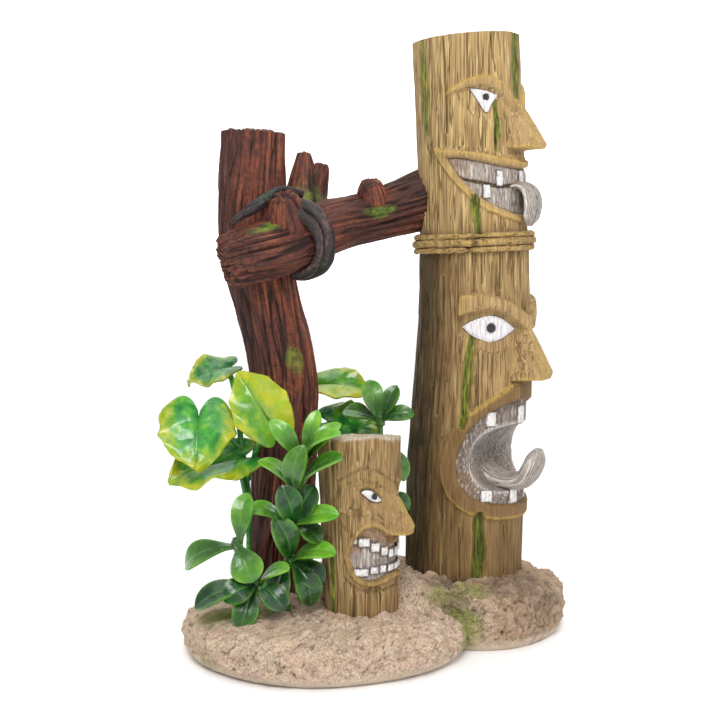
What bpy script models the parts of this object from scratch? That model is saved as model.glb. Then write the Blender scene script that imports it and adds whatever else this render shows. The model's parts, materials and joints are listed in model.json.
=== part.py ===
"""Tiki ornament: two stacked tiki logs and a driftwood arch on a sand base, with plug-in plants.

The origin is on the ground under the middle of the base, +Z is up and the carved faces look along -Y.
Sizes and places below are in millimetres, and MM turns them into Blender's metres.
"""

import math

import bmesh
import bpy
from mathutils import Matrix, Vector

MM = 0.001
GAP = 0.3  # left between pieces that touch
UP = Vector((0.0, 0.0, 1.0))
WELD_DISTANCE = 0.01

# Sand base: each lobe is x, y, radius, height, and its edge is rounded by the same profile
BASE_LOBES = ((-13.0, 9.0, 48.0, 16.5), (35.0, -25.0, 33.0, 20.5), (15.0, 4.0, 34.0, 21.5))
LOBE_PROFILE = ((0.93, 0.0), (1.0, 0.3), (0.99, 0.62), (0.9, 0.9), (0.7, 1.0))  # shares of radius, height
LOBE_SIDES = 36
SOCKET_FLOOR = 6.0

# Logs: sections from foot to top, each height, axis x, axis y, radius
LOWER_LOG = (
    (6.3, 38.5, -19.6, 21.3),
    (24.0, 38.5, -19.6, 21.6),
    (60.0, 38.9, -20.2, 21.7),
    (85.0, 39.5, -21.4, 21.0),
    (110.0, 40.1, -22.4, 20.4),
    (139.2, 40.0, -22.3, 19.6),
)
UPPER_LOG = ((139.5, 40.0, -22.3, 19.5), (163.0, 39.5, -21.3, 19.2), (213.0, 38.3, -19.3, 18.9))
TIKI_LOG = (
    (6.3, -14.6, -6.6, 12.7),
    (16.0, -14.6, -6.6, 12.8),
    (50.0, -15.0, -6.3, 13.4),
    (74.5, -15.4, -6.0, 14.2),
)
LOG_SIDES = 40
SPIGOT_RADIUS = 6.0
SPIGOT_HEIGHT = 5.0
HOOPS = (("vine_hoop_top", 142.6, 0.8), ("vine_hoop_middle", 140.3, 1.2), ("vine_hoop_bottom", 138.0, 0.8))

# Lower face: its mouth is a level bore across the front of the log
MOUTH_HEIGHT = 64.5
MOUTH_RADIUS = 19.5
MOUTH_LIP = 5.2
LINING_THICKNESS = 3.6

# Carved edges: for each, angle from the middle of the face, low height, high height. Those that start on
# the left and end at the middle are mirrored.
LOWER_BROW = ((-80, 114.6, 121.4), (-52, 116.6, 122.2), (-25, 113.6, 119), (-9, 109.8, 115.5), (0, 108, 112))
LOWER_EYE = (
    (-77, 110.4, 111.2),
    (-62, 107.2, 113.7),
    (-47, 105.3, 114.6),
    (-32, 107.3, 112.6),
    (-18, 109.2, 109.8),
)
UPPER_BROW = (
    (-87, 190.4, 192.0),
    (-70, 193.6, 195.8),
    (-50, 195.4, 197.6),
    (-30, 193.2, 195.4),
    (-8, 187.2, 189.8),
)
UPPER_EYE = (
    (-63, 192.6, 193.2),
    (-55, 188.7, 193.4),
    (-46, 185.0, 193.2),
    (-39, 188.5, 191.9),
    (-33, 190.3, 190.9),
)
UPPER_LIP = ((-92, 170.6, 172.2), (-60, 169.0, 171.2), (-30, 167.0, 169.4), (0, 166.0, 168.4))
UPPER_JAW = (
    (-88, 168.8, 170.0),
    (-77, 163.0, 169.4),
    (-55, 161.0, 168.2),
    (-34, 160.2, 166.6),
    (0, 160.8, 165.4),
)
LOWER_JAW = (
    (-76, 161.2, 161.8),
    (-63, 157.3, 160.6),
    (-52, 154.6, 160.0),
    (-34, 151.8, 159.2),
    (0, 149.6, 159.6),
)
UPPER_CHIN = (
    (-100, 168.6, 171.0),
    (-80, 160.6, 162.4),
    (-64, 154.8, 156.4),
    (-34, 149.6, 151.0),
    (0, 147.4, 148.8),
)
TIKI_BROW = ((-88, 60.2, 62.2), (-52, 63.0, 65.4), (-20, 60.8, 63.0), (0, 58.8, 61.0))
TIKI_EYE = ((-57, 58.2, 58.8), (-46, 56.5, 59.2), (-36, 55.2, 58.2), (-25, 54.8, 55.4))
TIKI_MOUTH = (
    (-80, 35.0, 39.0),
    (-70, 31.0, 44.0),
    (-55, 29.0, 46.4),
    (-40, 28.8, 46.4),
    (-20, 29.8, 42.0),
    (0, 30.5, 38.6),
)
TIKI_UPPER_TEETH = (
    (-74, 39.6, 41.8),
    (-55, 39.2, 42.2),
    (-40, 37.8, 40.8),
    (-20, 35.6, 38.4),
    (0, 34.8, 37.4),
)
TIKI_LOWER_TEETH = (
    (-70, 32.0, 34.2),
    (-55, 31.0, 33.6),
    (-40, 31.2, 33.8),
    (-20, 31.8, 34.0),
    (0, 32.0, 34.0),
)
TIKI_LIP = ((-84, 27.6, 30.0), (-55, 25.4, 27.8), (-20, 26.4, 28.8), (0, 27.4, 29.6))

# Lower face's teeth: left and right angle, low and high height
LOWER_TEETH = (
    (-48, -37, 75.6, 80.5),
    (-9, 7, 75.6, 82.0),
    (38, 49, 75.6, 80.5),
    (-54, -43, 49.6, 53.6),
    (-17, -4, 47.0, 52.0),
    (43, 54, 49.6, 53.6),
)

# Noses: heights of the bridge, tip and nostrils, half width, and how far the tip stands out
LOWER_NOSE = (113.0, 93.4, 91.0, 8.4, 10.2)
UPPER_NOSE = (191.0, 174.0, 172.5, 8.4, 8.8)
TIKI_NOSE = (58.0, 46.0, 43.5, 4.6, 6.6)

# Tongues: how far in front of the log's axis, height, half thickness
LOWER_TONGUE = ((5.5, 60.0, 2.6), (11.0, 55.5, 3.2), (18.0, 54.6, 3.2), (24.5, 57.0, 3.0), (27.3, 65.5, 2.3))
UPPER_TONGUE = ((18.6, 156.6, 1.6), (22.0, 158.0, 1.7), (23.8, 153.5, 1.8), (22.4, 148.6, 1.5))
TONGUE_WIDTH = 2.0  # times its thickness

# Driftwood: centreline x, y, z and radius
POST = (
    (-5.5, 32.6, 6.3, 11.6),
    (-5.5, 32.5, 34.0, 11.9),
    (-4.6, 30.8, 64.0, 11.7),
    (-4.3, 30.5, 93.0, 11.9),
    (-8.3, 37.4, 125.0, 12.2),
    (-10.4, 41.1, 144.0, 12.4),
    (-9.7, 39.8, 179.0, 11.0),
)
BEAM = (
    (-33.0, 38.4, 132.8, 7.0),
    (-29.5, 34.0, 134.5, 9.9),
    (-19.4, 25.6, 138.0, 10.4),
    (-7.5, 19.0, 143.0, 9.9),
    (3.7, 12.6, 147.0, 9.7),
    (15.3, 6.0, 149.3, 9.6),
    (28.2, -1.9, 154.0, 10.2),
    (37.0, -8.0, 156.5, 10.4),
)
FORK_PRONGS = (
    ((-3.2, 24.7, 144.0, 4.8), (3.1, 27.8, 152.0, 5.2), (6.6, 29.6, 161.0, 4.6), (8.3, 30.7, 172.5, 2.8)),
    ((-3.2, 24.7, 144.0, 4.8), (3.1, 27.8, 152.0, 5.2), (8.0, 27.8, 160.0, 4.6), (11.5, 25.1, 168.5, 2.8)),
)
KNOBS = (
    ((-14.5, 24.5, 141.0, 4.2), (-19.5, 22.5, 150.0, 3.8), (-22.0, 20.5, 155.0, 3.0)),
    ((12.6, 4.6, 150.0, 4.4), (10.4, 4.0, 157.0, 3.6), (9.2, 3.4, 161.2, 2.6)),
)

# Vine lashings wrap the beam: for each, distance along the beam at its front and how far the ends drift,
# start and end angle round the beam (90 is on top), strand radius
LASHINGS = (
    ("vine_lashing_outer", 35.0, 5.5, 108, -104, 1.9),
    ("vine_lashing_inner", 31.2, 5.5, 60, -96, 1.3),
)
STRAP = ((-31.5, 33.4, 148.6), (-28.0, 29.6, 151.2), (-25.0, 26.8, 153.2), (-23.2, 25.2, 154.8))
STRAP_RADIUS = 1.6

# Plants
STEM_RADIUS = 0.9
PLUG_RADIUS = 2.4
PLUG_FOOT = 8.0
HUB_RADIUS = 1.8
HUB_LENGTH = 3.0
LEAF_THICKNESS = 0.7
LEAF_FACING = Vector((-0.5, -0.33, 0.8))  # the way that the sprigs' leaves face, as near as each one can

# Leaf outlines: share of the length, half width as a share of the full half width
OVAL = ((0.0, 0.22), (0.16, 0.42), (0.36, 0.86), (0.58, 1.0), (0.8, 0.8), (0.94, 0.42), (1.0, 0.14))
HEART = ((0.0, 0.86), (0.1, 1.0), (0.35, 0.97), (0.6, 0.76), (0.82, 0.4), (1.0, 0.08))

# Each plant's peg, and the points that its stems curve towards. A whorl is a ring of leaves: its stem, its
# share of the way up that stem, then each leaf's tip and width. A heart leaf is its notch, tip, width, roll.
PLANTS = (
    {
        "name": "front_sprig",
        "root": (-31.6, 13.6),
        "peg_top": 18.5,
        "look": "glossy_leaf",
        "stems": (
            (
                (-31.6, 13.6, 14.0),
                (-31.5, 12.0, 31.0),
                (-30.9, 10.6, 45.0),
                (-30.3, 9.6, 58.0),
                (-28.9, 7.2, 69.5),
            ),
            (
                (-31.8, 13.8, 17.8),
                (-36.6, 17.0, 22.4),
                (-40.0, 20.4, 28.0),
                (-40.6, 25.0, 36.0),
                (-40.6, 27.2, 41.5),
            ),
        ),
        "whorls": (
            (
                0,
                0.25,
                (
                    (-31.8, -5.8, 39.5, 7.5),
                    (-32.8, 1.8, 20.7, 8.0),
                    (-40.2, 10.6, 49.8, 9.0),
                ),
            ),
            (
                0,
                0.53,
                (
                    (-32.0, -7.4, 52.7, 7.5),
                    (-34.4, 26.6, 51.1, 6.0),
                    (-38.3, 9.4, 60.0, 8.0),
                    (-31.5, -0.4, 42.1, 7.5),
                ),
            ),
            (0, 0.80, ((-34.6, -9.0, 72.3, 9.0), (-32.1, 22.7, 67.6, 6.0), (-37.2, 3.2, 73.4, 8.0))),
            (
                0,
                0.97,
                (
                    (-26.0, 3.6, 84.4, 5.5),
                    (-35.9, 15.2, 81.5, 7.0),
                    (-32.6, -6.2, 80.6, 5.5),
                ),
            ),
            (
                1,
                0.40,
                (
                    (-54.6, 33.6, 21.6, 9.0),
                    (-50.5, 18.5, 17.6, 7.0),
                    (-41.6, 7.1, 20.8, 8.0),
                    (-39.4, 7.3, 34.3, 6.5),
                ),
            ),
            (1, 0.93, ((-45.3, 45.6, 31.5, 9.0), (-44.3, 17.9, 29.0, 10.5), (-37.8, 24.6, 56.4, 7.5))),
        ),
    },
    {
        "name": "rear_sprig",
        "root": (7.4, -2.4),
        "peg_top": 24.0,
        "look": "glossy_leaf",
        "stems": (((7.4, -2.4, 14.0), (7.0, -3.0, 49.0), (6.6, -2.2, 72.0), (6.4, -2.0, 80.0)),),
        "whorls": (
            (0, 0.34, ((10.8, 4.6, 46.5, 6.0), (6.4, -13.4, 47.5, 6.0))),
            (0, 0.69, ((8.0, 7.4, 60.0, 6.5), (5.4, -12.6, 58.0, 6.0))),
            (
                0,
                0.93,
                (
                    (6.4, 12.6, 81.0, 6.5),
                    (7.0, -14.6, 81.0, 6.0),
                    (6.6, 2.4, 91.5, 6.5),
                    (7.4, -7.8, 90.0, 5.5),
                ),
            ),
        ),
    },
    {
        "name": "heart_vine",
        "root": (-22.8, 34.2),
        "peg_top": 18.5,
        "look": "heart_leaf",
        "stems": (
            (
                (-22.8, 34.2, 14.0),
                (-22.4, 34.0, 40.0),
                (-22.8, 34.6, 60.0),
                (-24.4, 36.4, 72.0),
                (-23.2, 37.8, 84.0),
            ),
            ((-22.4, 34.0, 40.0), (-23.2, 34.6, 55.0), (-26.2, 35.8, 63.4)),
            ((-24.0, 36.0, 69.0), (-30.0, 42.6, 78.0), (-35.2, 44.2, 80.8)),
            ((-22.6, 34.5, 58.0), (-25.0, 29.0, 70.0), (-26.0, 25.4, 76.6)),
            ((-23.6, 37.4, 80.0), (-20.0, 41.0, 90.0), (-16.4, 46.8, 94.5)),
        ),
        "hearts": (
            ((-36.6, 44.6, 81.6), (-46.4, 39.2, 64.8), 24.0, -20.0),
            ((-28.0, 35.8, 65.4), (-45.2, 51.4, 59.4), 22.0, -25.0),
            ((-27.6, 22.4, 80.8), (-30.8, 31.8, 96.6), 20.0, 70.0),
            ((-15.6, 48.2, 95.4), (-25.2, 58.0, 91.0), 17.0, 10.0),
        ),
    },
    {
        "name": "rear_heart_vine",
        "root": (12.0, 30.4),
        "peg_top": 20.5,
        "look": "heart_leaf",
        "stems": (
            ((12.0, 30.4, 14.0), (15.0, 33.0, 45.0), (16.6, 33.0, 70.0), (16.8, 30.8, 86.0)),
            ((16.2, 33.1, 60.0), (18.0, 31.0, 70.0), (19.0, 27.0, 73.0)),
        ),
        "hearts": (
            ((16.9, 28.8, 87.0), (23.8, 10.6, 85.0), 15.0, 10.0),
            ((19.4, 25.2, 73.2), (20.6, 5.8, 71.0), 15.0, -10.0),
        ),
    },
)


def collection(name):
    made = bpy.data.collections.new(name)
    bpy.context.scene.collection.children.link(made)
    return made


def material(name, colour, roughness):
    made = bpy.data.materials.new(name)
    made.use_nodes = True
    shader = made.node_tree.nodes["Principled BSDF"]
    shader.inputs["Base Color"].default_value = (*colour, 1.0)
    shader.inputs["Roughness"].default_value = roughness
    return made


def add_object(name, data, look=None):
    """A new object in the ornament's collection, or a hidden one with the cutters where it has no look."""
    obj = bpy.data.objects.new(name, data)
    if look is None:
        CUTTERS.objects.link(obj)
        obj.hide_render = True
        obj.display_type = "WIRE"
    else:
        ORNAMENT.objects.link(obj)
        data.materials.append(look)
    return obj


def smooth(obj, angle=40.0):
    obj.data.shade_smooth()
    obj.data.set_sharp_from_angle(angle=math.radians(angle))
    return obj


def boolean(obj, tool, operation):
    modifier = obj.modifiers.new(operation.lower() + "_" + tool.name, "BOOLEAN")
    modifier.operation = operation
    modifier.object = tool
    modifier.solver = "EXACT"
    weld = obj.modifiers.new("weld_" + tool.name, "WELD")
    weld.merge_threshold = WELD_DISTANCE * MM
    return obj


def cut(obj, *tools):
    for tool in tools:
        boolean(obj, tool, "DIFFERENCE")


def join(obj, *tools):
    for tool in tools:
        boolean(obj, tool, "UNION")


def place(obj, x, y, z=0.0):
    obj.location = Vector((x, y, z)) * MM
    return obj


def loft(name, rings, look=None):
    """A closed body through rings of points that all hold the same number of points."""
    bm = bmesh.new()
    rows = [[bm.verts.new(Vector(p) * MM) for p in ring] for ring in rings]
    for low, high in zip(rows, rows[1:]):
        for i, corner in enumerate(low):
            j = (i + 1) % len(low)
            bm.faces.new((corner, low[j], high[j], high[i]))
    bm.faces.new(rows[0])
    bm.faces.new(rows[-1])
    bmesh.ops.recalc_face_normals(bm, faces=bm.faces)
    mesh = bpy.data.meshes.new(name)
    bm.to_mesh(mesh)
    bm.free()
    return add_object(name, mesh, look)


def cylinder(name, radius, low, high, look=None, sides=24):
    """An upright cylinder about its own origin, from height low to height high."""
    bm = bmesh.new()
    middle = Matrix.Translation((0.0, 0.0, (low + high) / 2 * MM))
    bmesh.ops.create_cone(
        bm,
        cap_ends=True,
        segments=sides,
        radius1=radius * MM,
        radius2=radius * MM,
        depth=(high - low) * MM,
        matrix=middle,
    )
    mesh = bpy.data.meshes.new(name)
    bm.to_mesh(mesh)
    bm.free()
    return add_object(name, mesh, look)


def tube(name, points, look=None, grow=0.0, sides=3, steps=3, widen=1.0):
    """A tapering round bar through points of x, y, z, radius, as a mesh with welded caps."""
    curve = bpy.data.curves.new(name + "_line", "CURVE")
    curve.dimensions = "3D"
    curve.bevel_depth = MM
    curve.bevel_resolution = sides
    curve.use_fill_caps = True
    curve.resolution_u = steps
    line = curve.splines.new("NURBS")
    line.points.add(len(points) - 1)
    for point, (x, y, z, radius) in zip(line.points, points):
        point.co = (x * MM / widen, y * MM, z * MM, 1.0)
        point.radius = radius + grow
    line.order_u = 3
    line.use_endpoint_u = True
    guide = bpy.data.objects.new(name + "_line", curve)
    CUTTERS.objects.link(guide)
    guide.scale.x = widen
    bpy.context.view_layer.update()
    mesh = bpy.data.meshes.new_from_object(guide.evaluated_get(bpy.context.evaluated_depsgraph_get()))
    mesh.transform(guide.matrix_world)
    bm = bmesh.new()
    bm.from_mesh(mesh)
    bmesh.ops.remove_doubles(bm, verts=bm.verts, dist=WELD_DISTANCE * MM)
    bmesh.ops.recalc_face_normals(bm, faces=bm.faces)
    bm.to_mesh(mesh)
    bm.free()
    bpy.data.objects.remove(guide)
    bpy.data.curves.remove(curve)
    mesh.name = name
    mesh.materials.clear()
    return add_object(name, mesh, look)


# Logs and what is carved on them


def section(log, height):
    """Axis x, axis y and radius of a log at a height."""
    for (z0, *low), (z1, *high) in zip(log, log[1:]):
        if height <= z1 or (z1, *high) == log[-1]:
            share = (height - z0) / (z1 - z0)
            return [a + (b - a) * share for a, b in zip(low, high)]


def front_of(log, height):
    """Y of the log's surface at the middle of its face."""
    return section(log, height)[1] - section(log, height)[2]


def on_log(log, angle, height, proud):
    """A point on a log's surface: angle from the middle of its face, height, distance outside the surface."""
    x, y, radius = section(log, height)
    turn = math.radians(angle)
    reach = radius + proud
    return (x + reach * math.sin(turn), y - reach * math.cos(turn), height)


def log_body(name, log, look=None, grow=0.0, low=None, high=None):
    """The round log between two heights, or the whole of it, with its radius made larger by grow."""
    bottom = log[0][0] if low is None else low
    top = log[-1][0] if high is None else high
    heights = [bottom, *(s[0] for s in log if bottom < s[0] < top), top]
    turns = [360.0 * i / LOG_SIDES for i in range(LOG_SIDES)]
    return loft(name, [[on_log(log, a, z, grow) for a in turns] for z in heights], look)


def mirrored(edges):
    """The outline's points from the face's left side to its middle, continued to the right side."""
    return [*edges, *((-a, low, high) for a, low, high in reversed(edges) if a < 0)]


def band(name, log, edges, inner, outer, look=None, grow=0.0, step=9.0):
    """A plate curved round a log: edges are angle, low height, high height, and it fills inner to outer."""
    rows = []
    turn = math.degrees(grow / log[0][3])
    for (a0, low0, high0), (a1, low1, high1) in zip(edges, edges[1:]):
        count = max(1, math.ceil((a1 - a0) / step))
        for i in range(count):
            share = i / count
            low, high = low0 + (low1 - low0) * share, high0 + (high1 - high0) * share
            rows.append((a0 + (a1 - a0) * share, low, high))
    rows.append(edges[-1])
    rows[0] = (rows[0][0] - turn, *rows[0][1:])
    rows[-1] = (rows[-1][0] + turn, *rows[-1][1:])
    rings = []
    for angle, low, high in rows:
        corners = ((low - grow, inner), (high + grow, inner), (high + grow, outer), (low - grow, outer))
        rings.append([on_log(log, angle, z, proud) for z, proud in corners])
    return loft(name, rings, look)


def inlay(name, log_object, log, edges, depth, proud, look):
    """A plate set into a log, in a pocket with the usual gap all round."""
    pocket = band(name + "_pocket", log, edges, -depth - GAP, 4.0, grow=GAP)
    cut(log_object, pocket)
    return smooth(band(name, log, edges, -depth, proud, look))


def both_sides(name, build, edges):
    """Calls build for a face's left piece and for its mirror image."""
    build(name + "_left", edges)
    build(name + "_right", [(-a, low, high) for a, low, high in reversed(edges)])


def nose(name, log, bridge, tip, nostril, half_width, reach):
    """A wedge nose, hulled from its corners."""
    x, y, radius = section(log, tip)
    root = y - radius + 3.0
    front = y - radius - reach
    corners = (
        (x - half_width * 0.3, root - 3.5, bridge),
        (x + half_width * 0.3, root - 3.5, bridge),
        (x, root + 1.0, bridge + 1.0),
        (x - half_width, root, nostril),
        (x + half_width, root, nostril),
        (x - half_width * 0.42, front, tip),
        (x + half_width * 0.42, front, tip),
        (x - half_width * 0.5, front + 0.8, nostril),
        (x + half_width * 0.5, front + 0.8, nostril),
        (x, root + 1.0, nostril),
    )
    bm = bmesh.new()
    for corner in corners:
        bm.verts.new(Vector(corner) * MM)
    hull = bmesh.ops.convex_hull(bm, input=bm.verts)
    bmesh.ops.delete(bm, geom=[v for v in hull["geom_interior"] if isinstance(v, bmesh.types.BMVert)])
    bmesh.ops.recalc_face_normals(bm, faces=bm.faces)
    mesh = bpy.data.meshes.new(name)
    bm.to_mesh(mesh)
    bm.free()
    return add_object(name, mesh)


def level_bore(name, radius, height, y):
    """A cylinder lying along X through the lower log, for its mouth."""
    bore = cylinder(name, radius, -32.0, 32.0, sides=40)
    bore.rotation_euler = (0.0, math.radians(90.0), 0.0)
    return place(bore, section(LOWER_LOG, height)[0], y, height)


def lower_log():
    body = log_body("totem_lower_log", LOWER_LOG, WOOD)
    front = front_of(LOWER_LOG, MOUTH_HEIGHT)
    lip = log_body("mouth_lip", LOWER_LOG, grow=1.0, low=36.0, high=94.0)
    boolean(lip, level_bore("mouth_lip_outline", MOUTH_RADIUS + MOUTH_LIP, MOUTH_HEIGHT, front), "INTERSECT")
    brow = band("lower_brow", LOWER_LOG, mirrored(LOWER_BROW), -1.0, 1.7)
    wedge = nose("lower_nose", LOWER_LOG, *LOWER_NOSE)
    spigot = place(cylinder("spigot", SPIGOT_RADIUS, 130.0, 139.2 + SPIGOT_HEIGHT), *LOWER_LOG[-1][1:3])
    join(body, lip, brow, wedge, spigot)
    cut(body, level_bore("mouth_bore", MOUTH_RADIUS, MOUTH_HEIGHT, front))
    both_sides("lower_face_eye", lambda n, e: inlay(n, body, LOWER_LOG, e, 0.9, 0.3, PAINT), LOWER_EYE)
    return smooth(body)


def lower_mouth():
    """The grey lining that stands all round the open mouth, with its teeth and the tongue that curls out."""
    x, y = section(LOWER_LOG, MOUTH_HEIGHT)[:2]
    front = front_of(LOWER_LOG, MOUTH_HEIGHT)
    body = log_body("lower_face_mouth", LOWER_LOG, GREY, grow=-0.8, low=40.0, high=90.0)
    boolean(body, level_bore("lining_outside", MOUTH_RADIUS - GAP, MOUTH_HEIGHT, front), "INTERSECT")
    cut(body, level_bore("lining_inside", MOUTH_RADIUS - LINING_THICKNESS, MOUTH_HEIGHT, front))
    for i, (left, right, low, high) in enumerate(LOWER_TEETH):
        join(body, band(f"lower_tooth_{i}", LOWER_LOG, ((left, low, high), (right, low, high)), -4.0, -0.2))
    tongue = [(x, y - forward, z, r) for forward, z, r in LOWER_TONGUE]
    join(body, tube("lower_tongue", tongue, sides=2, widen=TONGUE_WIDTH))
    return smooth(body)


def upper_log():
    body = log_body("totem_upper_log", UPPER_LOG, WOOD)
    brow = band("upper_brow", UPPER_LOG, mirrored(UPPER_BROW), -1.0, 1.3)
    wedge = nose("upper_nose", UPPER_LOG, *UPPER_NOSE)
    lip = band("upper_lip", UPPER_LOG, mirrored(UPPER_LIP), -1.0, 1.5)
    chin = band("upper_chin", UPPER_LOG, mirrored(UPPER_CHIN), -1.0, 0.8)
    join(body, brow, wedge, lip, chin)
    recess = cylinder("spigot_recess", SPIGOT_RADIUS + GAP, 130.0, 139.2 + SPIGOT_HEIGHT + GAP)
    cut(body, place(recess, *UPPER_LOG[0][1:3]))
    both_sides("upper_face_eye", lambda n, e: inlay(n, body, UPPER_LOG, e, 0.9, 0.3, PAINT), UPPER_EYE)
    inlay("upper_face_upper_jaw", body, UPPER_LOG, mirrored(UPPER_JAW), 1.2, 0.4, GREY)
    jaw = inlay("upper_face_lower_jaw", body, UPPER_LOG, mirrored(LOWER_JAW), 1.2, 0.4, GREY)
    x, y = section(UPPER_LOG, LOWER_JAW[-1][2])[:2]
    tongue = [(x, y - forward, z, r) for forward, z, r in UPPER_TONGUE]
    join(jaw, tube("upper_tongue", tongue, sides=2, widen=TONGUE_WIDTH))
    return smooth(body)


def small_tiki():
    body = log_body("small_tiki_log", TIKI_LOG, WOOD)
    brow = band("tiki_brow", TIKI_LOG, mirrored(TIKI_BROW), -1.0, 0.9)
    wedge = nose("tiki_nose", TIKI_LOG, *TIKI_NOSE)
    lip = band("tiki_lip", TIKI_LOG, mirrored(TIKI_LIP), -1.0, 0.8)
    join(body, brow, wedge, lip)
    mouth = inlay("small_tiki_mouth", body, TIKI_LOG, mirrored(TIKI_MOUTH), 1.6, -0.3, GREY)
    for name, edges in (("tiki_upper_teeth", TIKI_UPPER_TEETH), ("tiki_lower_teeth", TIKI_LOWER_TEETH)):
        join(mouth, band(name, TIKI_LOG, mirrored(edges), -1.0, 0.5))
    both_sides("small_tiki_eye", lambda n, e: inlay(n, body, TIKI_LOG, e, 0.8, 0.2, PAINT), TIKI_EYE)
    return smooth(body)


def hoops():
    for name, height, radius in HOOPS:
        log = LOWER_LOG if height < LOWER_LOG[-1][0] else UPPER_LOG
        x, y = section(log, height)[:2]
        bpy.ops.mesh.primitive_torus_add(
            major_segments=LOG_SIDES,
            minor_segments=8,
            major_radius=(LOWER_LOG[-1][3] + radius + GAP) * MM,
            minor_radius=radius * MM,
        )
        hoop = bpy.context.object
        hoop.name = name
        hoop.data.materials.append(WOOD)
        bpy.context.collection.objects.unlink(hoop)
        ORNAMENT.objects.link(hoop)
        smooth(place(hoop, x, y, height))


# Driftwood


def beam_point(distance, angle, radius):
    """A point round the beam: distance along it from the broken end, angle (0 front, 90 top), radius."""
    points = [Vector(p[:3]) for p in BEAM]
    travelled = 0.0
    for a, b in zip(points, points[1:]):
        step = (b - a).length
        if travelled + step >= distance:
            break
        travelled += step
    along = (b - a).normalized()
    front = along.cross(UP).normalized()
    top = front.cross(along)
    turn = math.radians(angle)
    centre = a + along * (distance - travelled)
    return centre + (front * math.cos(turn) + top * math.sin(turn)) * radius


def driftwood():
    post = tube("driftwood_post", POST, DRIFTWOOD, steps=4)
    cut(post, tube("post_notch", BEAM, grow=GAP))
    beam = tube("driftwood_beam", BEAM, DRIFTWOOD)
    for i, prong in enumerate(FORK_PRONGS):
        join(beam, tube(f"fork_prong_{i}", prong))
    for i, knob in enumerate(KNOBS):
        join(beam, tube(f"knob_{i}", knob))
    cut(beam, log_body("beam_scribe", UPPER_LOG, grow=GAP))
    smooth(post)
    smooth(beam)
    for name, front, drift, start, end, radius in LASHINGS:
        count = 14
        reach = 10.6 + radius + GAP
        points = []
        for i in range(count + 1):
            angle = start + (end - start) * i / count
            back = drift * (1.0 - math.cos(math.radians(angle)))
            points.append((*beam_point(front - back, angle, reach), radius))
        smooth(tube(name, points, VINE, sides=1, steps=1))
    smooth(tube("vine_strap", [(*p, STRAP_RADIUS) for p in STRAP], VINE, sides=1))


# Base


def lobe(name, x, y, radius, height, look=None):
    rings = []
    for share, rise in LOBE_PROFILE:
        ring = []
        for i in range(LOBE_SIDES):
            a = 2 * math.pi * i / LOBE_SIDES
            wobble = 1.0 + 0.018 * math.sin(3 * a + x) + 0.012 * math.sin(5 * a + y)
            reach = radius * share * wobble
            ring.append((x + reach * math.cos(a), y + reach * math.sin(a), rise * height))
        rings.append(ring)
    return loft(name, rings, look)


def base():
    first, *others = BASE_LOBES
    body = lobe("sand_base", *first, SAND)
    for i, spec in enumerate(others):
        join(body, lobe(f"base_lobe_{i}", *spec))
    for name, log in (("totem_socket", LOWER_LOG), ("tiki_socket", TIKI_LOG)):
        cut(body, log_body(name, log, grow=GAP, low=SOCKET_FLOOR, high=50.0))
    x, y = POST[0][:2]
    cut(body, place(cylinder("post_socket", POST[1][3] + 0.6, SOCKET_FLOOR, 40.0, sides=32), x, y))
    for plant in PLANTS:
        x, y = plant["root"]
        socket = cylinder(plant["name"] + "_socket", PLUG_RADIUS + GAP, PLUG_FOOT - GAP, 40.0, sides=16)
        cut(body, place(socket, x, y))
    return smooth(body, 50.0)


# Plants


def leaf_mesh(name, start, tip, width, shape, lift, roll=0.0, facing=UP):
    """An open curved sheet from start to tip. shape gives the half width at each share of its length."""
    start, tip = Vector(start), Vector(tip)
    along = (tip - start).normalized()
    side = along.cross(facing).normalized()
    side = Matrix.Rotation(math.radians(roll), 3, along) @ side
    face = side.cross(along)
    bm = bmesh.new()
    rows = []
    for share, half in shape:
        centre = start.lerp(tip, share) + face * (lift * 4 * share * (1 - share))
        reach = side * (half * width / 2)
        cup = face * (half * width * 0.07)
        rows.append([bm.verts.new((centre + reach * s + cup * abs(s)) * MM) for s in (-1, 0, 1)])
    for a, b in zip(rows, rows[1:]):
        for i in range(2):
            bm.faces.new((a[i], a[i + 1], b[i + 1], b[i]))
    mesh = bpy.data.meshes.new(name)
    bm.to_mesh(mesh)
    bm.free()
    return mesh


def leaf(name, start, tip, width, shape, lift, roll=0.0, facing=UP, look=None):
    obj = add_object(name, leaf_mesh(name, start, tip, width, shape, lift, roll, facing), look)
    thicken = obj.modifiers.new("thickness", "SOLIDIFY")
    thicken.thickness = LEAF_THICKNESS * MM
    thicken.offset = 0.0
    return obj


def stem_at(points, share):
    """Place and direction on a stem's curve at a share of its arcs."""
    arcs = len(points) - 2
    i = min(int(share * arcs), arcs - 1)
    t = share * arcs - i
    before, bend, after = (Vector(p) for p in points[i:i + 3])
    start = before if i == 0 else (before + bend) / 2
    end = after if i == arcs - 1 else (bend + after) / 2
    place = start * (1 - t) ** 2 + bend * (2 * t * (1 - t)) + end * t ** 2
    return place, ((bend - start) * (1 - t) + (end - bend) * t).normalized()


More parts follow.
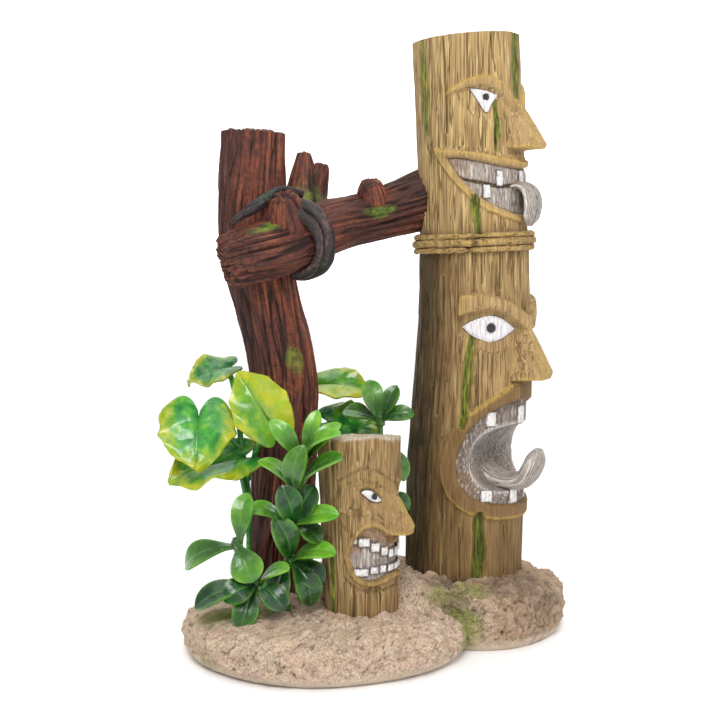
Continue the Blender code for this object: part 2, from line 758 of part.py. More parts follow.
def whorl(name, points, share, leaves, look):
    """A ring that slides over the stem, with its leaves moulded on."""
    centre, along = stem_at(points, share)
    turn = along.to_track_quat("Z", "Y").to_matrix().to_4x4()
    hub = cylinder(name, HUB_RADIUS, -HUB_LENGTH / 2, HUB_LENGTH / 2, look, sides=10)
    hub.data.transform(Matrix.Translation(centre * MM) @ turn)
    for i, (*tip, width) in enumerate(leaves):
        tip = Vector(tip)
        out = tip - centre
        out = (out - along * out.dot(along)).normalized()
        start = centre + out * (HUB_RADIUS - 0.45)
        lift = 0.08 * (tip - start).length
        join(hub, leaf(f"{name}_leaf_{i}", start, tip, width, OVAL, lift, facing=LEAF_FACING))
    bore = cylinder(name + "_bore", STEM_RADIUS + GAP, -HUB_LENGTH, HUB_LENGTH, sides=10)
    bore.data.transform(Matrix.Translation(centre * MM) @ turn)
    cut(hub, bore)
    return hub


def plant(spec):
    """A plant stands on a peg in the base and turns about it: its pieces are parented to the peg's axis."""
    x, y = spec["root"]
    axis = bpy.data.objects.new(spec["name"] + "_axis", None)
    ORNAMENT.objects.link(axis)
    place(axis, x, y, PLUG_FOOT)
    bpy.context.view_layer.update()
    look = LEAF_LOOKS[spec["look"]]
    peg = place(cylinder(spec["name"] + "_peg", PLUG_RADIUS, PLUG_FOOT, spec["peg_top"], sides=16), x, y)
    stems = [[(*p, STEM_RADIUS) for p in points] for points in spec["stems"]]
    stem = tube(spec["name"] + "_stem", stems[0], look, sides=1)
    join(stem, peg, *(tube(f"{spec['name']}_branch_{i}", s, sides=1) for i, s in enumerate(stems[1:])))
    pieces = [smooth(stem)]
    for i, (which, share, leaves) in enumerate(spec.get("whorls", ())):
        pieces.append(whorl(f"{spec['name']}_whorl_{i + 1}", spec["stems"][which], share, leaves, look))
    for i, (notch, tip, width, roll) in enumerate(spec.get("hearts", ())):
        blade = leaf(f"{spec['name']}_leaf_{i + 1}", notch, tip, width, HEART, 1.6, roll, look=look)
        pieces.append(blade)
    for piece in pieces:
        piece.parent = axis
        piece.matrix_parent_inverse = axis.matrix_world.inverted()


def clear_scene():
    for obj in list(bpy.data.objects):
        bpy.data.objects.remove(obj)


clear_scene()
ORNAMENT = collection("tiki_ornament")
CUTTERS = collection("cutters")
CUTTERS.hide_render = True

WOOD = material("painted_wood_grain", (0.42, 0.28, 0.12), 0.7)
PAINT = material("white_eye_paint", (0.85, 0.85, 0.83), 0.55)
GREY = material("grey_mouth_paint", (0.42, 0.36, 0.32), 0.7)
DRIFTWOOD = material("driftwood", (0.16, 0.05, 0.03), 0.65)
VINE = material("vine", (0.03, 0.025, 0.025), 0.6)
SAND = material("sand", (0.62, 0.47, 0.35), 0.9)
LEAF_LOOKS = {
    "glossy_leaf": material("glossy_leaf", (0.04, 0.22, 0.05), 0.3),
    "heart_leaf": material("heart_leaf", (0.3, 0.55, 0.06), 0.35),
}

base()
lower_log()
lower_mouth()
upper_log()
hoops()
small_tiki()
driftwood()
for each in PLANTS:
    plant(each)
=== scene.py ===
"""Looks of the tiki ornament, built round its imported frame.

The frame's own axes are kept: the origin is on the ground under the base, +Z is up and the carved faces look
along -Y. Sizes are in millimetres, and MM turns them into the frame's metres. Angles on a log are in degrees
from the middle of its face, negative towards -X.
"""

import json
import math

import bpy
import numpy as np
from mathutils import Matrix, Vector

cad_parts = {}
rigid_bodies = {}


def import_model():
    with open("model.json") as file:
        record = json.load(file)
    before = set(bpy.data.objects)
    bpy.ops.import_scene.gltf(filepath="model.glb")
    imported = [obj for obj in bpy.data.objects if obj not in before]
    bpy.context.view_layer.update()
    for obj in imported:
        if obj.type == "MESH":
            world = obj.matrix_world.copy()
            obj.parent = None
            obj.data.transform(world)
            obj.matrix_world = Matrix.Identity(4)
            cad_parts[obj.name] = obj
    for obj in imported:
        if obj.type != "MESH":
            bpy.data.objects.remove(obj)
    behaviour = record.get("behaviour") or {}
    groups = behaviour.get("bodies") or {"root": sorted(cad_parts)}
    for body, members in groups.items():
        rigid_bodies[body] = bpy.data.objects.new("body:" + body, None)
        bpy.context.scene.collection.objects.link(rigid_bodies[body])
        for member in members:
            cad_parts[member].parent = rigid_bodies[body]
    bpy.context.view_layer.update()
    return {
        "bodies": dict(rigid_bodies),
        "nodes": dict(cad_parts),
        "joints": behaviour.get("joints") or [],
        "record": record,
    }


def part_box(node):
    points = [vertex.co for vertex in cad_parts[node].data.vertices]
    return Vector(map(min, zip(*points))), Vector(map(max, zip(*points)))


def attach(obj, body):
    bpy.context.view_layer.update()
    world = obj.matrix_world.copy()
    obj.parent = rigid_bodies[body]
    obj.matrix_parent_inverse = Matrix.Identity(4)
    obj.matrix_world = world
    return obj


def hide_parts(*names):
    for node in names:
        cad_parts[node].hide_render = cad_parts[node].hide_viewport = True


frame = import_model()
MM = 0.001
ORNAMENT = "ornament"

# Logs, as in the CAD: sections from foot to top, each height, axis x, axis y, radius
LOWER_LOG = (
    (6.3, 38.5, -19.6, 21.3),
    (24.0, 38.5, -19.6, 21.6),
    (60.0, 38.9, -20.2, 21.7),
    (85.0, 39.5, -21.4, 21.0),
    (110.0, 40.1, -22.4, 20.4),
    (139.2, 40.0, -22.3, 19.6),
)
UPPER_LOG = ((139.5, 40.0, -22.3, 19.5), (163.0, 39.5, -21.3, 19.2), (213.0, 38.3, -19.3, 18.9))
TIKI_LOG = (
    (6.3, -14.6, -6.6, 12.7),
    (16.0, -14.6, -6.6, 12.8),
    (50.0, -15.0, -6.3, 13.4),
    (74.5, -15.4, -6.0, 14.2),
)


# Noise, worked out on whole arrays of points


def hashed(cell, seed):
    """A repeatable pseudo-random integer for each lattice point."""
    value = (cell[..., 0] * 73856093) ^ (cell[..., 1] * 19349663) ^ (cell[..., 2] * 83492791)
    value = (value + seed * 668265263) & 0xFFFFFFFF
    value = ((value ^ (value >> 15)) * 0x2C1B3C6D) & 0xFFFFFFFF
    value = ((value ^ (value >> 12)) * 0x297A2D39) & 0xFFFFFFFF
    return value ^ (value >> 15)


DIRECTIONS = np.random.default_rng(4).normal(size=(64, 3))
DIRECTIONS /= np.linalg.norm(DIRECTIONS, axis=1)[:, None]


def noise(points, seed=0):
    """Smooth noise between about -1 and 1 at each point, with features about one unit across."""
    cell = np.floor(points).astype(np.int64)
    inside = points - cell
    weight = inside**3 * (inside * (inside * 6 - 15) + 10)
    total = np.zeros(points.shape[:-1])
    for corner in np.ndindex(2, 2, 2):
        corner = np.array(corner)
        slope = DIRECTIONS[hashed(cell + corner, seed) & 63]
        share = np.where(corner, weight, 1 - weight).prod(-1)
        total += share * ((inside - corner) * slope).sum(-1)
    return total * 1.6


def layered(points, seed=0, layers=3):
    """Noise with finer and weaker layers on it."""
    return sum(noise(points * 2**i, seed + i) / 2**i for i in range(layers)) / 1.6


def veins(points, width, seed=0):
    """1 along thin wandering lines and 0 between them."""
    return np.exp(-((noise(points, seed) / width) ** 2))


def pits(points, seed=0):
    """Distance to the nearest of one random spot per unit cell."""
    cell = np.floor(points).astype(np.int64)
    nearest = np.full(points.shape[:-1], 9.0)
    for offset in np.ndindex(3, 3, 3):
        other = cell + np.array(offset) - 1
        spot = np.stack([(hashed(other, seed + k) & 0xFFFF) / 65535 for k in range(3)], -1)
        nearest = np.minimum(nearest, np.linalg.norm(points - other - spot, axis=-1))
    return nearest


def rise(value, low, high):
    """0 below low, 1 above high and smooth between."""
    share = np.clip((value - low) / (high - low), 0, 1)
    return share * share * (3 - 2 * share)


# Meshes


def new_object(name, mesh, look, nodes, body=ORNAMENT):
    """A piece that stands for the CAD nodes: it hides them and rides on the given body."""
    obj = bpy.data.objects.new(name, mesh)
    bpy.context.scene.collection.objects.link(obj)
    mesh.materials.append(look)
    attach(obj, body)
    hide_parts(*nodes)
    return obj


def grid_mesh(name, points, masks, wrap=False, keep=None):
    """A smooth mesh over a grid of points in mm. masks are float attributes on the same grid."""
    rows, columns = points.shape[:2]
    index = np.arange(rows * columns).reshape(rows, columns)
    following = np.roll(index, -1, axis=1)
    quads = np.stack([index[:-1], following[:-1], following[1:], index[1:]], -1)
    if not wrap:
        quads = quads[:, :-1]
    if keep is not None:
        quads = quads[keep[: quads.shape[0], : quads.shape[1]]]
    quads = quads.reshape(-1, 4)
    used, quads = np.unique(quads, return_inverse=True)
    quads = quads.reshape(-1, 4)
    mesh = bpy.data.meshes.new(name)
    mesh.vertices.add(len(used))
    mesh.vertices.foreach_set("co", (points.reshape(-1, 3)[used] * MM).ravel())
    mesh.loops.add(quads.size)
    mesh.loops.foreach_set("vertex_index", quads.ravel())
    mesh.polygons.add(len(quads))
    mesh.polygons.foreach_set("loop_start", np.arange(0, quads.size, 4))
    mesh.update(calc_edges=True)
    mesh.validate()
    for key, mask in masks.items():
        layer = mesh.attributes.new(key, "FLOAT", "POINT")
        layer.data.foreach_set(
            "value", np.broadcast_to(mask, (rows, columns)).ravel()[used].astype(np.float32),
        )
    mesh.shade_smooth()
    return mesh


def thicken(obj, thickness):
    """Gives an open sheet a back, thickness mm behind it."""
    solid = obj.modifiers.new("thickness", "SOLIDIFY")
    solid.thickness = thickness * MM
    solid.offset = -1.0
    return obj


# Materials


def rgb(red, green, blue):
    """A colour given in everyday 0 to 255 values, as the linear colour a shader wants."""
    return tuple(
        (c / 255 / 12.92) if c <= 10 else ((c / 255 + 0.055) / 1.055) ** 2.4 for c in (red, green, blue)
    ) + (1.0,)


BLACK = (0.0, 0.0, 0.0, 1.0)
WHITE = (1.0, 1.0, 1.0, 1.0)


class Look:
    """A node material while it is being put together."""

    def __init__(self, name, roughness=0.7):
        self.material = bpy.data.materials.new(name)
        self.material.use_nodes = True
        self.tree = self.material.node_tree
        self.shader = self.tree.nodes["Principled BSDF"]
        self.shader.inputs["Roughness"].default_value = roughness
        self.place = self.node("ShaderNodeTexCoord").outputs["Object"]

    def node(self, kind, inputs=(), **settings):
        made = self.tree.nodes.new(kind)
        for key, value in settings.items():
            setattr(made, key, value)
        for key, value in dict(inputs).items():
            if isinstance(value, bpy.types.NodeSocket):
                self.tree.links.new(value, made.inputs[key])
            else:
                made.inputs[key].default_value = value
        return made

    def mask(self, name):
        return self.node("ShaderNodeAttribute", attribute_name=name).outputs["Fac"]

    def noise(self, size, detail=3.0, stretch=(1, 1, 1), roughness=0.5, distortion=0.0):
        """Noise with features about size mm across, drawn out by stretch along each axis."""
        scale = tuple(1 / (size * MM * s) for s in stretch)
        spot = self.node("ShaderNodeMapping", {"Vector": self.place, "Scale": scale}).outputs["Vector"]
        inputs = {
            "Vector": spot, "Scale": 1.0, "Detail": detail, "Roughness": roughness,
            "Distortion": distortion,
        }
        return self.node("ShaderNodeTexNoise", inputs).outputs["Fac"]

    def cells(self, size, feature="F1", stretch=(1, 1, 1)):
        scale = tuple(1 / (size * MM * s) for s in stretch)
        spot = self.node("ShaderNodeMapping", {"Vector": self.place, "Scale": scale}).outputs["Vector"]
        return self.node("ShaderNodeTexVoronoi", {"Vector": spot, "Scale": 1.0}, feature=feature)

    def spread(self, value, low, high, start=0.0, end=1.0):
        """value from low to high becomes start to end, held at both ends."""
        inputs = {"Value": value, "From Min": low, "From Max": high, "To Min": start, "To Max": end}
        return self.node("ShaderNodeMapRange", inputs, clamp=True).outputs["Result"]

    def math(self, operation, a, b):
        return self.node("ShaderNodeMath", {0: a, 1: b}, operation=operation, use_clamp=True).outputs[0]

    def blend(self, factor, a, b, how="MIX"):
        """Colour a, turning into colour b with the factor."""
        made = self.node("ShaderNodeMix", data_type="RGBA", blend_type=how)
        for key, value in ((0, factor), (6, a), (7, b)):
            if isinstance(value, bpy.types.NodeSocket):
                self.tree.links.new(value, made.inputs[key])
            else:
                made.inputs[key].default_value = value
        return made.outputs[2]

    def ramp(self, value, *stops):
        made = self.node("ShaderNodeValToRGB", {"Fac": value})
        marks = made.color_ramp.elements
        while len(marks) < len(stops):
            marks.new(0.5)
        for mark, (position, colour) in zip(marks, stops):
            mark.position = position
            mark.color = colour
        return made.outputs["Color"]

    def bump(self, height, depth, normal=None):
        """Bump whose height of 1 is depth mm."""
        inputs = {"Height": height, "Distance": depth * MM, "Strength": 1.0}
        if normal is not None:
            inputs["Normal"] = normal
        return self.node("ShaderNodeBump", inputs).outputs["Normal"]

    def done(self, colour, roughness=None, normal=None):
        self.tree.links.new(colour, self.shader.inputs["Base Color"])
        if roughness is not None:
            self.tree.links.new(roughness, self.shader.inputs["Roughness"])
        if normal is not None:
            self.tree.links.new(normal, self.shader.inputs["Normal"])
        return self.material


def carved_wood():
    """Ochre paint dry-brushed over dark carved grain, with yellow edges and moss; brown paint and brown painted
    shade by the brown mask, olive painted shade by the dark mask.
    """
    look = Look("painted_wood_grain", 0.75)
    look.shader.inputs["Specular IOR Level"].default_value = 0.35
    grain = look.noise(0.55, detail=4, stretch=(1, 1, 26))
    broad = look.noise(2.4, detail=2, stretch=(1, 1, 14))
    patches = look.noise(14.0, detail=3, stretch=(1, 1, 2.2))
    scored = look.noise(0.95, detail=1, stretch=(1, 1, 30), distortion=0.2)
    lines = look.ramp(scored, (0.44, BLACK), (0.48, WHITE), (0.515, WHITE), (0.55, BLACK))
    lines = look.math("MULTIPLY", lines, look.spread(look.noise(3.0, stretch=(1, 1, 5)), 0.40, 0.56))
    lips = look.ramp(scored, (0.55, BLACK), (0.575, WHITE), (0.60, WHITE), (0.65, BLACK))
    open_grain = look.spread(look.mask("bare"), 0.0, 1.0, 1.0, 0.5)
    tan = look.ramp(
        grain,
        (0.26, rgb(136, 106, 62)),
        (0.40, rgb(164, 134, 86)),
        (0.56, rgb(182, 152, 102)),
        (0.74, rgb(198, 170, 116)),
    )
    tan = look.blend(look.spread(broad, 0.46, 0.7, 0.0, 0.3), tan, rgb(192, 162, 108))
    tan = look.blend(look.spread(broad, 0.3, 0.46, 0.15, 0.0), tan, rgb(130, 98, 58))
    bare = look.blend(look.spread(patches, 0.3, 0.7), rgb(164, 132, 86), rgb(184, 152, 104))
    tan = look.blend(look.math("MULTIPLY", look.mask("bare"), 0.6), tan, bare)
    tan = look.blend(look.spread(patches, 0.35, 0.7, 0.0, 0.3), tan, rgb(172, 140, 100))
    scores = look.math("MULTIPLY", lines, open_grain)
    tan = look.blend(look.math("MULTIPLY", scores, 0.72), tan, rgb(88, 62, 30))
    tan = look.blend(
        look.math("MULTIPLY", look.math("MULTIPLY", lips, open_grain), 0.55), tan, rgb(222, 198, 142),
    )
    # The brown mask is partly real brown paint and partly painted shade on the logs' shaded flanks and lower
    # parts.
    brown = look.mask("brown")
    tan = look.blend(
        look.math("MULTIPLY", brown, 0.85), tan, look.blend(grain, rgb(80, 54, 28), rgb(132, 100, 58)),
    )
    groove = look.mask("groove")
    tan = look.blend(look.math("MULTIPLY", groove, 0.72), tan, rgb(88, 64, 34))
    crest = look.math("MULTIPLY", look.mask("crest"), look.spread(grain, 0.35, 0.6))
    crest = look.math("MULTIPLY", crest, look.spread(brown, 0.0, 1.0, 0.75, 0.35))
    tan = look.blend(crest, tan, rgb(206, 180, 120))
    edge = look.math(
        "MULTIPLY", look.mask("edge"), look.spread(look.noise(1.3, stretch=(1, 1, 1.6)), 0.32, 0.56, 0.25),
    )
    edge = look.math("MULTIPLY", edge, 0.62)
    tan = look.blend(edge, tan, rgb(210, 176, 86))
    # The dark mask is olive painted shade on shaded flanks, feet and the mouth recess, and also the dark middles
    # of moss.
    dark = look.math("MULTIPLY", look.mask("dark"), look.spread(grain, 0.7, 0.36, 0.55, 1.0))
    tan = look.blend(dark, tan, rgb(46, 38, 16))
    strands = look.noise(0.8, detail=4, stretch=(1, 1, 6))
    weed = look.ramp(
        strands,
        (0.32, rgb(44, 50, 10)),
        (0.46, rgb(86, 102, 22)),
        (0.6, rgb(134, 148, 44)),
        (0.74, rgb(180, 178, 84)),
    )
    # Moss turns darker under the painted shade of the dark mask and in its own dark middles.
    weed = look.blend(
        look.math("MULTIPLY", look.mask("dark"), 0.9), weed,
        look.blend(strands, rgb(28, 24, 8), rgb(74, 70, 24)),
    )
    moss = look.math(
        "MULTIPLY", look.mask("moss"), look.spread(look.noise(1.0, stretch=(1, 1, 7)), 0.3, 0.5, 0.45),
    )
    tan = look.blend(moss, tan, weed)
    chalk = look.math("MULTIPLY", look.mask("chalk"), look.spread(look.noise(0.8), 0.35, 0.6, 0.3))
    tan = look.blend(chalk, tan, rgb(206, 198, 182))
    rough = look.spread(patches, 0.3, 0.7, 0.62, 0.84)
    fine = look.bump(look.noise(0.35, detail=3, stretch=(1, 1, 12)), 0.12)
    normal = look.bump(look.spread(scores, 0.0, 1.0, 1.0, 0.0), 0.30, look.bump(grain, 0.22, fine))
    return look.done(tan, rough, normal)


def eye_paint():
    """White paint with faint grain, dark in the outline and pupil."""
    look = Look("white_eye_paint", 0.5)
    grain = look.noise(0.5, detail=3, stretch=(1, 1, 9))
    white = look.ramp(
        grain, (0.3, rgb(176, 170, 170)), (0.46, rgb(214, 210, 211)), (0.66, rgb(236, 234, 236)),
    )
    halo = look.math("MULTIPLY", look.mask("halo"), 0.5)
    white = look.blend(halo, white, rgb(170, 168, 172))
    ink = look.blend(look.spread(look.noise(0.8), 0.3, 0.7), rgb(18, 20, 22), rgb(48, 50, 54))
    colour = look.blend(look.mask("ink"), white, ink)
    rim = look.blend(look.spread(grain, 0.3, 0.7), rgb(62, 50, 44), rgb(98, 80, 66))
    colour = look.blend(look.mask("rim"), colour, rim)
    return look.done(colour, look.spread(grain, 0.3, 0.7, 0.42, 0.62), look.bump(grain, 0.08))


def grey_paint():
    """Grey mouth paint: dark in the grooves, dry-brushed white on the ridges, with painted outlines."""
    look = Look("grey_mouth_paint", 0.75)
    grain = look.noise(0.6, detail=4, stretch=(1, 1, 3))
    broad = look.noise(3.5, detail=3)
    grey = look.ramp(
        grain,
        (0.28, rgb(100, 84, 74)),
        (0.45, rgb(134, 120, 110)),
        (0.58, rgb(158, 146, 136)),
        (0.74, rgb(192, 184, 176)),
    )
    # The deep mask is painted shade, darker the deeper into the lower mouth's cavity.
    grey = look.blend(look.math("MULTIPLY", look.mask("deep"), 0.85), grey, rgb(92, 76, 64))
    grey = look.blend(look.math("MULTIPLY", look.mask("pale"), 0.6), grey, rgb(196, 186, 176))
    warm = look.math("MULTIPLY", look.mask("warm"), look.spread(broad, 0.3, 0.6, 0.5))
    grey = look.blend(warm, grey, rgb(160, 124, 86))
    grey = look.blend(look.spread(broad, 0.45, 0.7, 0.0, 0.4), grey, rgb(132, 112, 100))
    grey = look.blend(look.math("MULTIPLY", look.mask("groove"), 0.92), grey, rgb(66, 54, 48))
    crest = look.math("MULTIPLY", look.mask("crest"), look.spread(look.noise(0.7), 0.3, 0.52, 0.3))
    grey = look.blend(crest, grey, rgb(222, 218, 214))
    grey = look.blend(look.mask("ink"), grey, rgb(52, 42, 44))
    fine = look.bump(look.noise(0.4, detail=3), 0.10)
    return look.done(grey, look.spread(broad, 0.3, 0.7, 0.62, 0.85), fine)


def tooth_paint():
    """Off-white teeth, dirty round their edges."""
    look = Look("tooth_paint", 0.5)
    worn = look.noise(0.7, detail=3, stretch=(1, 1, 2))
    white = look.ramp(worn, (0.3, rgb(176, 170, 166)), (0.48, rgb(214, 210, 207)), (0.68, rgb(238, 236, 234)))
    dirt = look.math("MULTIPLY", look.mask("rim"), look.spread(worn, 0.6, 0.3, 0.5, 1.0))
    colour = look.blend(dirt, white, rgb(84, 70, 66))
    return look.done(colour, look.spread(worn, 0.3, 0.7, 0.4, 0.6), look.bump(worn, 0.07))


# Carved skins of the logs

WOOD_MASKS = ("groove", "crest", "edge", "bare", "moss", "dark", "brown", "chalk")


class Skin:
    """A log's skin: a grid of angle and height, raised and lowered step by step, with paint masks."""

    def __init__(self, log, low, high, seed, columns=300, step=0.42):
        table = np.array(log)
        heights = np.linspace(low, high, round((high - low) / step) + 1)
        self.angle, self.z = np.meshgrid(np.linspace(-180, 180, columns, endpoint=False), heights)
        self.sections = [np.interp(self.z, table[:, 0], table[:, k]) for k in (1, 2, 3)]
        self.girth = float(np.mean(self.sections[2])) * math.pi / 180
        self.across = self.angle * self.girth
        self.relief = np.zeros_like(self.z)
        self.seed = seed
        self.masks = {name: np.zeros_like(self.z) for name in WOOD_MASKS}

    def turned(self, sizes, shift=0.0):
        """Points for noise that closes round the log: sizes are its feature sizes round and along the log."""
        turn = np.radians(self.angle)
        radius = self.sections[2]
        round_size, long_size = sizes
        spots = [np.sin(turn) * radius / round_size, np.cos(turn) * radius / round_size, self.z / long_size]
        return np.stack(spots, -1) + shift

    def flat(self, points):
        return [(a * self.girth, z) for a, z in points]

    def near(self, line, mirror=True):
        """Distance in mm from an open line of (angle, height) points."""
        x = -abs(self.across) if mirror else self.across
        nearest = np.full_like(x, 99.0)
        points = self.flat(line)
        for (x0, z0), (x1, z1) in zip(points, points[1:]):
            run, climb = x1 - x0, z1 - z0
            share = np.clip(((x - x0) * run + (self.z - z0) * climb) / (run**2 + climb**2), 0, 1)
            nearest = np.minimum(nearest, np.hypot(x - x0 - share * run, self.z - z0 - share * climb))
        return nearest

    def inside(self, outline, mirror=True):
        """Distance in mm inside a closed outline of (angle, height) points, negative outside it."""
        x = -abs(self.across) if mirror else self.across
        crossings = np.zeros(x.shape, dtype=bool)
        points = self.flat(outline)
        for (x0, z0), (x1, z1) in zip(points, points[1:] + points[:1]):
            if z0 == z1:
                continue
            level = (self.z > min(z0, z1)) & (self.z <= max(z0, z1))
            crossings ^= level & (x < x0 + (self.z - z0) * (x1 - x0) / (z1 - z0))
        distance = self.near([*outline, outline[0]], mirror)
        return np.where(crossings, distance, -distance)

    def paint(self, name, amount):
        self.masks[name] = np.maximum(self.masks[name], amount)

    def plate(self, inside, height, edge=0.6, bare=1.0):
        """Raises what is inside by height, with a smooth top and a step about edge wide."""
        share = rise(inside, -edge / 2, edge / 2)
        self.relief += height * share
        self.paint("bare", share * bare)
        return share

    def ridge(self, line, height, width, mirror=True):
        share = 1 - rise(self.near(line, mirror), 0, width)
        self.relief += height * share
        return share

    def nose(self, bridge, tip, nostril, slope, reach, bare):
        """A wedge nose: slope is its half width at bridge and nostrils, reach how far its tip stands out."""
        share = np.clip((bridge - self.z) / (bridge - nostril), 0, 1)
        half = slope[0] + (slope[1] - slope[0]) * share
        side = np.clip((half - abs(self.across)) / (half * 0.62), 0, 1)
        forward = reach * np.clip((bridge - self.z) / (bridge - tip), 0, 1) ** 0.92
        forward *= np.where(self.z < tip, 1 - 0.1 * (tip - self.z) / (tip - nostril), 1.0)
        open_above = rise(self.z, nostril - 0.2, nostril + 0.2)
        lump = forward * (1 - (1 - side) ** 1.15) * open_above
        self.relief = np.maximum(self.relief, lump + self.relief * (1 - rise(lump, 0.2, 1.5)))
        body = rise(lump, 0.3, 1.2)
        self.paint("bare", body * bare)
        under = np.exp(-(((self.z - nostril - 0.5) / 0.8) ** 2)) * rise(lump, 0.8, 2.5)
        self.paint("edge", under)
        crown = rise(side, 0.9, 1.0) * body * (1 - rise(self.z, bridge - 3, bridge))
        self.paint("edge", crown * 0.55)
        # Painted shade under the nose: the groove mask darkens a band below the nostrils, and the yellow edge
        # paint is held back there.
        below = (self.z < nostril) & (self.z > nostril - 2.2) & (abs(self.across) < slope[1] * 0.9)
        self.paint("groove", np.where(below, 0.55, 0.0))
        self.masks["edge"] *= np.where(below, 0.2, 1.0)

    def grain(self, strength, cracks=()):
        """Long wood grain, faint where the carving left the wood bare, and the single deep cracks."""
        free = 1 - 0.8 * self.masks["bare"]
        flutes = layered(self.turned((6.5, 55)), self.seed, 2)
        fibres = layered(self.turned((1.25, 20)), self.seed + 3, 3)
        splits = veins(self.turned((3.4, 60)), 0.085, self.seed + 9) * rise(
            layered(self.turned((7, 22)), self.seed + 14, 2), -0.1, 0.3
        )
        fine = veins(self.turned((1.6, 26)), 0.16, self.seed + 11) * rise(
            noise(self.turned((4, 12)), self.seed + 16), -0.3, 0.3
        )
        self.relief += strength * (0.5 * flutes + free * (0.30 * fibres - 0.6 * splits - 0.3 * fine))
        self.paint("groove", free * np.clip(0.9 * splits + 0.3 * fine + rise(-fibres, 0.3, 0.8) * 0.12, 0, 1))
        self.paint("crest", free * rise(fibres, 0.2, 0.7) * 0.6)
        for line, depth, width in cracks:
            gap = 1 - rise(self.near(line, mirror=False) + 0.35 * fibres, 0, width)
            self.relief -= depth * gap
            self.paint("groove", gap)
            lip = np.exp(-(((self.near(line, mirror=False) - width * 1.25) / (width * 0.4)) ** 2))
            self.paint("crest", lip * 0.9)

    def moss(self, line, width, depth=0.0, edges=0.0, dark=0.0):
        """Moss along a line of (angle, height), in a split, with dry-brushed edges and a dark middle."""
        low, high = min(p[1] for p in line), max(p[1] for p in line)
        taper = np.sin(math.pi * np.clip((self.z - low + 3) / (high - low + 6), 0, 1)) ** 0.6
        width = width * (0.35 + 0.65 * taper)
        ragged = 0.55 * noise(
            self.turned((1.5, 9)), self.seed + 20,
        ) + 0.4 * noise(self.turned((0.9, 3)), self.seed + 26)
        near = self.near(line, mirror=False) + ragged
        core = 1 - rise(near, width * 0.4, width * 1.1)
        self.relief -= depth * core
        self.paint("moss", core)
        self.paint("dark", dark * (1 - rise(near, width * 0.45, width * 1.1)))
        self.masks["bare"] *= 1 - core
        if edges:
            rim = np.exp(-(((near - width * 1.15) / 0.4) ** 2)) * edges
            self.relief += 0.35 * rim
            self.paint("edge", rim * 0.7)

    def points(self, lift=0.0):
        x, y, radius = self.sections
        turn = np.radians(self.angle)
        reach = radius + self.relief + lift
        return np.stack([x + reach * np.sin(turn), y - reach * np.cos(turn), self.z], -1)

    def capped(self):
        """Points and masks with rows that close the log's top: sawn wood with rings and radial cracks."""
        side = self.points()
        x, y, _ = (section[-1] for section in self.sections)
        centre = np.stack([x, y, self.z[-1]], -1)
        rim = side[-1] - centre
        shares = np.concatenate([[0.985], np.linspace(0.965, 0.02, 46)])
        rows, marks = [], []
        turn = np.radians(self.angle[-1])
        for share in shares:
            row = centre + rim * share
            radius = np.linalg.norm(rim[:, :2], axis=1) * share
            spot = np.stack([row[:, 0] / 5, row[:, 1] / 5, np.full_like(turn, 3.0)], -1)
            wobble = noise(spot, self.seed + 30)
            rings = np.cos((radius + wobble * 1.2) * 2 * math.pi / 1.9)
            grit = layered(np.stack([row[:, 0] / 1.1, row[:, 1] / 1.1, 0 * turn], -1), self.seed + 31, 2)
            splits = veins(
                np.stack([np.cos(turn) * 3, np.sin(turn) * 3, radius / 30], -1), 0.09, self.seed + 33,
            )
            splits *= rise(share, 0.15, 0.6)
            drop = 0.14 * rings + 0.35 * wobble + 0.3 * grit - 0.5 * splits - 0.35 * rise(share, 0.93, 1.0)
            row[:, 2] += drop
            rows.append(row)
            marks.append(
                np.clip(0.75 * splits + rise(-rings, 0.2, 0.9) * 0.4 + rise(-grit, 0.1, 0.6) * 0.4, 0, 1)
            )
        points = np.concatenate([side, rows])
        masks = {
            key: np.concatenate([m, np.repeat(m[-1:], len(rows), axis=0) * 0.3])
            for key, m in self.masks.items()
        }
        masks["groove"][len(side) :] = marks
        masks["chalk"][len(side) :] = self.top_chalk * np.linspace(1, 0.75, len(rows))[:, None]
        return points, masks

    top_chalk = 0.25


def outline_between(top, bottom):
    """A closed outline from a top and a bottom line that both run from left to right."""
    return [*top, *reversed(bottom)]


UPPER_BROW_TOP = (
    (-88, 191.4), (-78, 193.9), (-68, 195.8), (-58, 197.0), (-48, 197.4), (-38, 197.0), (-28, 195.4),
    (-18, 192.4), (-8, 188.6),
)
UPPER_BROW_FOOT = (
    (-88, 190.9), (-76, 192.4), (-63, 193.7), (-50, 194.2), (-40, 193.4), (-32, 191.8), (-22, 188.9),
    (-12, 185.6), (-8, 184.4),
)
UPPER_FRAME_TOP = (
    (-105, 173.4), (-98, 172.4), (-90, 172.0), (-75, 171.9), (-55, 171.0), (-30, 169.6), (0, 168.7),
    (12, 168.7),
)
UPPER_FRAME_FOOT = (
    (-106, 172.4), (-99, 168.2), (-90, 163.9), (-80, 159.9), (-70, 156.4), (-62, 153.6), (-50, 151.2),
    (-34, 149.2), (-15, 147.6), (12, 147.2),
)
UPPER_MOUTH_TOP = ((-91, 169.8), (-77, 169.6), (-55, 168.5), (-34, 167.1), (0, 166.2), (12, 166.2))
UPPER_MOUTH_FOOT = (
    (-91, 169.2), (-84, 165.4), (-75, 161.6), (-64, 157.6), (-52, 154.6), (-34, 151.8), (-15, 150.0),
    (12, 149.6),
)


